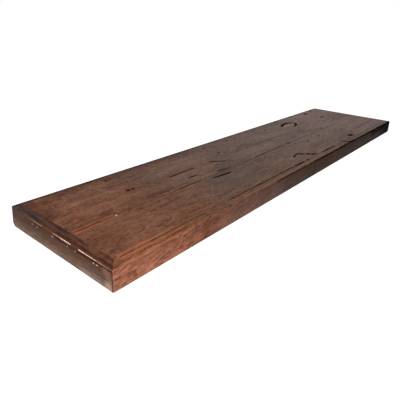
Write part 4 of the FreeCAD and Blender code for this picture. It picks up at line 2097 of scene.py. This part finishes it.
BORDER_FINISHES = {
    "front_edge_board": StainedWood(
        name="stained front edge board",
        # Lighter at the near left end and falling off steeply to the right: painted light and shade
        # along the front face, over its stain.
        sides=Palette(
            (
                Stop(-0.600, (0.285, 0.119, 0.078)),
                Stop(-0.540, (0.308, 0.129, 0.083)),
                Stop(-0.425, (0.235, 0.097, 0.062)),
                Stop(-0.408, (0.172, 0.069, 0.042)),
                Stop(-0.290, (0.146, 0.056, 0.033)),
                Stop(-0.120, (0.068, 0.028, 0.016), 0.6),
                Stop(0.090, (0.048, 0.021, 0.011), 0.7),
                Stop(0.220, (0.044, 0.019, 0.011), 0.7),
                Stop(0.380, (0.022, 0.010, 0.005), 0.7),
                Stop(0.580, (0.012, 0.006, 0.004), 0.7),
            )
        ),
        top=top_tones(1.32),
        coat=0.48,
        polished=(Line((0, 9), (100, 9), 80.0, -0.22),),
        roughness=0.65,
        polished_sides=(
            Line((262, 0, 19), (1219, 0, 19), 60.0, 0.1),
            Line((262, 0, 19), (1080, 0, 19), 60.0, 0.08),
            Line((262, 0, 19), (540, 0, 19), 60.0, 0.08),
            Line((262, 0, 19), (430, 0, 19), 60.0, 0.16),
        ),
        clouds=0.2,
        blotches=0.2,
        streaks=0.45,
        tilt=math.radians(7.0),
        low=(-END_X, -SIZES.depth, -SIZES.layer),
        high=(END_X, FAR, SIZES.layer),
        pith=(0.0, -0.33, -0.04),
        crevice_shade_start=0.0022,
        marks={
            Tint.WORN: (
                Line((20, 1, 1), (130, 1, 1), 2.4, 0.95),
                Line((140, 1, 1), (172, 1, 1), 2.0, 0.8),
                Line((180, 1, 1), (262, 1, 1), 2.0, 0.8),
                Line((28, 13), (155, 12), 4.5, 0.75),
                Line((0.5, 0.5), (18.5, 18.5), 1.6, 0.9),
                Line((47, 0, 4), (47, 0, 38), 4.0, 0.5),
            ),
            Tint.BUFF: (
                Line((330, 6), (620, 6), 7.0, 0.4),
                Line((620, 7), (780, 7), 6.0, 0.3),
                Line((2.5, 0, 4), (2.5, 0, 38), 1.8, 0.6),
            ),
            Tint.UMBER: (Line((130, 8), (180, 7), 2.4, 0.45),),
            Tint.RUST: (
                Line((28, 18), (222, 17.5), 1.5, 0.85),
                Line((292, 19), (545, 19), 1.8, 0.7),
                Line((4, 1, 4.5), (45, 1, 4.5), 1.6, 0.5),
                Patch((40, 0, 27), (6, 5, 5), 0.7),
                Patch((66, 0, 22), (6, 5, 5), 0.45),
                Patch((137, 0, 26), (6, 5, 5), 0.45),
            ),
            Tint.SEAM: (
                Line((440, 1, 1), (620, 1, 1), 3.6, 0.7),
                Line((620, 1, 1), (960, 1, 1), 3.8, 0.95),
            ),
            Tint.BLACK: (
                Line((960, 1, 1), (1212, 1, 1), 4.4, 0.95),
                Line((846, 20), (850, 12), 5.0, 1.8),
                Line((850, 12), (860, 3), 5.4, 1.8),
                Line((860, 3), (892, 2), 4.5, 0.9),
            ),
        },
        side_marks={
            # Darker and duller towards the face's top edge.
            Tint.UMBER: (
                Line((0, 0, 6), (190, 0, 6), 26.0, 0.2),
                Line((200, 0, 6), (1100, 0, 6), 18.0, 0.2),
            ),
            # Painted shade: the right end of the front face and its corner are darkened.
            Tint.BLACK: (
                Line((1040, 0, 4), (1219, 0, 4), 20.0, 0.75),
                Line((1170, 0, 20), (1219, 0, 20), 24.0, 0.6),
                Line((1218, 0, 4), (1218, 0, 36), 5.0, 0.9),
            ),
        },
    ),
    "left_end_board": StainedWood(
        name="stained left end board",
        sides=Palette(
            (Stop(-0.12, (0.134, 0.0630, 0.0310), 0.5), Stop(-0.03, (0.109, 0.0510, 0.0250), 0.5))
        ),
        top=Palette(
            (Stop(-0.26, (0.091, 0.0340, 0.0192), 0.55), Stop(-0.02, (0.063, 0.0252, 0.0155), 0.55))
        ),
        specular=0.03,
        coat=0.2,
        coat_roughness=0.14,
        coat_ior=2.0,
        clouds=0.25,
        blotches=0.2,
        streaks=0.9,
        fine=0.7,
        polished=(
            Line((0.5, 1, 1.6), (0.5, 26, 1.6), 1.8, 0.6),
            Line((0.5, 26, 1.6), (0.5, 79, 1.6), 1.9, 0.72),
            Line((0.5, 101, 1.6), (0.5, 126, 1.6), 1.7, 0.55),
            Line((0.6, 128, 1.0), (0.6, 148, 1.0), 1.8, 0.25),
            Line((0.6, 182, 1.2), (0.6, 222, 1.2), 1.8, 0.14),
            Patch((13, 205), (7, 9, 4), 0.2),
        ),
        polished_sides=(
            Line((0, -20, 41), (0, 286, 41), 34.0, 0.22),
            Line((0, -20, 41), (0, 60, 41), 34.0, 0.24),
        ),
        low=(-END_X, -SIZES.depth, -SIZES.layer),
        grain=Grain.ACROSS,
        pith=(0.0, 0.66, -0.05),
        ring_width=0.005,
        crevice_shade_start=0.0022,
        marks={
            Tint.WORN: (
                Line((1, 140, 2), (1, 175, 1), 3.0, 0.35),
                Line((1, 84, 1), (1, 96, 1), 4.0, 0.3),
            ),
            Tint.PALE: tuple(
                Patch((0, back, 7.9), (2.6, 3.4, 2.7), strength) for back, strength in BRAD_HEADS
            ),
            Tint.CHAFED: (Patch((0, 13, 11), (12, 17, 13), 1.0),),
            Tint.UMBER: (
                Line((0, 145, 7), (0, 175, 8), 6.0, 0.7),
                Line((0, 11, 23), (0, 72, 25), 1.8, 0.9),
                Line((0, 20, 29), (0, 50, 29), 1.7, 0.6),
                Patch((0, 47, 30), (3, 4, 2), 0.8),
                Patch((0, 124, 24), (3, 5, 3), 0.6),
                Patch((0, 148, 26), (3, 4, 3), 0.6),
                Patch((0, 156, 22), (3, 5, 3), 0.7),
                Patch((0, 214, 16), (4, 6, 3), 0.8),
                Line((0, 236, 22), (0, 262, 20), 2.0, 0.4),
            ),
            Tint.POOLED: (
                Line((1, 0, 1), (1, 150, 1), 6.5, 0.8),
                Line((1, 150, 1), (1, 220, 1), 6.5, 0.5),
            ),
            Tint.SEAM: (
                # Painted shade along the back arris, down the end face and across the top.
                Line((0, 286, 1), (0, 286, 36), 4.0, 0.6),
                Line((2, 286, 0), (19, 286, 0), 8.0, 0.9),
                Line((0, 4, 4.4), (0, 28, 4.6), 1.8, 0.8),
                Line((0, 28, 5.4), (0, 80, 6.4), 2.8, 1.0),
                Line((0, 80, 6.6), (0, 145, 5.6), 2.9, 1.0),
                Line((0, 176, 5), (0, 226, 6), 2.4, 0.8),
                Line((5.2, 8, 0), (5.2, 145, 0), 1.8, 0.6),
                Line((0, 0, 4), (0, 10, 6), 2.0, 0.9),
                Patch((3, 3, 0), (3.5, 3.5, 3), 0.8),
                Line((0, 1, 5), (0, 1, 38), 1.8, 0.8),
            ),
        },
        side_marks={
            Tint.CHAFED: (Line((0, 10, 8), (0, 10, 37), 11.0, 0.7),),
            Tint.UMBER: (Line((0, 1, 8), (0, 286, 8), 27.0, 0.6),),
        },
    ),
    "right_end_board": StainedWood(
        name="stained right end board",
        sides=Palette((Stop(0.0, (0.106, 0.044, 0.026)),)),
        top=Palette((Stop(0.0, (0.150, 0.0605, 0.0335)),)),
        low=(-FAR, -SIZES.depth, -SIZES.layer),
        high=(END_X, FAR, SIZES.layer),
        grain=Grain.ACROSS,
        pith=(0.0, -0.66, -0.05),
        crevice_shade_start=0.0022,
    ),
}

FILLED = Metal(
    name="filled brad head",
    base=(0.9, 0.64, 0.5),
    scuffed=(0.7, 0.5, 0.38),
    metallic=0.0,
    roughness=0.6,
    scuff_size=0.002,
    grit=0.0001,
    below=(0.1, 0.06, 0.04),
)
DULL_FILLED = replace(
    FILLED, name="dull brad head", base=(0.26, 0.16, 0.11), scuffed=(0.16, 0.1, 0.07), below=None
)
STAINED_FILLED = replace(
    DULL_FILLED, name="stained brad head", base=(0.05, 0.03, 0.022), scuffed=(0.09, 0.05, 0.035)
)
POWDER_COAT = Metal(
    name="black powder coat",
    base=(0.022, 0.022, 0.024),
    scuffed=(0.05, 0.05, 0.052),
    metallic=0.0,
    roughness=0.5,
    scuff_size=0.02,
    grit=0.0002,
)
DRAWN_STEEL = Metal(
    name="drawn steel rod",
    base=(0.20, 0.20, 0.205),
    scuffed=(0.15, 0.15, 0.155),
    metallic=1.0,
    roughness=0.5,
    scuff_size=0.012,
    grit=0.00003,
)
GROUND_WELD = Metal(
    name="ground weld",
    base=(0.36, 0.35, 0.34),
    scuffed=(0.5, 0.49, 0.48),
    metallic=1.0,
    roughness=0.35,
    scuff_size=0.004,
    grit=0.0002,
)
NODE_FINISHES = {
    "left_end_brads": FILLED,
    "left_mitre_pins": DULL_FILLED,
    "right_end_brads": STAINED_FILLED,
    "right_mitre_pins": STAINED_FILLED,
    "front_edge_brads": STAINED_FILLED,
    "bracket_plate": POWDER_COAT,
    **{f"support_rod_{number}": DRAWN_STEEL for number in range(1, 5)},
    "rod_welds": GROUND_WELD,
}

SHARP_ANGLE = math.radians(35)


def smooth(piece: bpy.types.Object) -> None:
    """Shade a piece smooth over its roundings, and flat over its faces.

    Args:
        piece: The piece.
    """
    take(piece)
    bpy.ops.object.shade_smooth_by_angle(angle=SHARP_ANGLE)
    shading = piece.modifiers.new("flats stay flat", "WEIGHTED_NORMAL")
    shading.keep_sharp = True
    apply(piece, shading)


def main() -> None:
    """Build the shelf and its studio."""
    logging.basicConfig(level=logging.INFO, format="%(name)s: %(message)s")
    SharedPatterns().build()
    assemblies = (
        PlankLayer(Layer.TOP, TOP_FINISHES, "plank_stain"),
        PlankLayer(Layer.BOTTOM, BOTTOM_FINISHES, "underside_stain"),
        Border(BORDER_FINISHES, "border_stain"),
    )
    pieces = {
        piece.name.removesuffix("_wood"): piece
        for assembly in assemblies
        for piece in assembly.build()
    }
    Openings().cut(pieces)
    for name, piece in pieces.items():
        smooth(piece)
        log.info("%s: %d faces", name, len(piece.data.polygons))
    CadPieces(NODE_FINISHES).build()
    Studio().build()
    bpy.context.scene.view_settings.view_transform = "Standard"
    [[list(corner) for corner in box] for box in (CAD_BOX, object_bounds())]


if __name__ == "__main__":
    main()
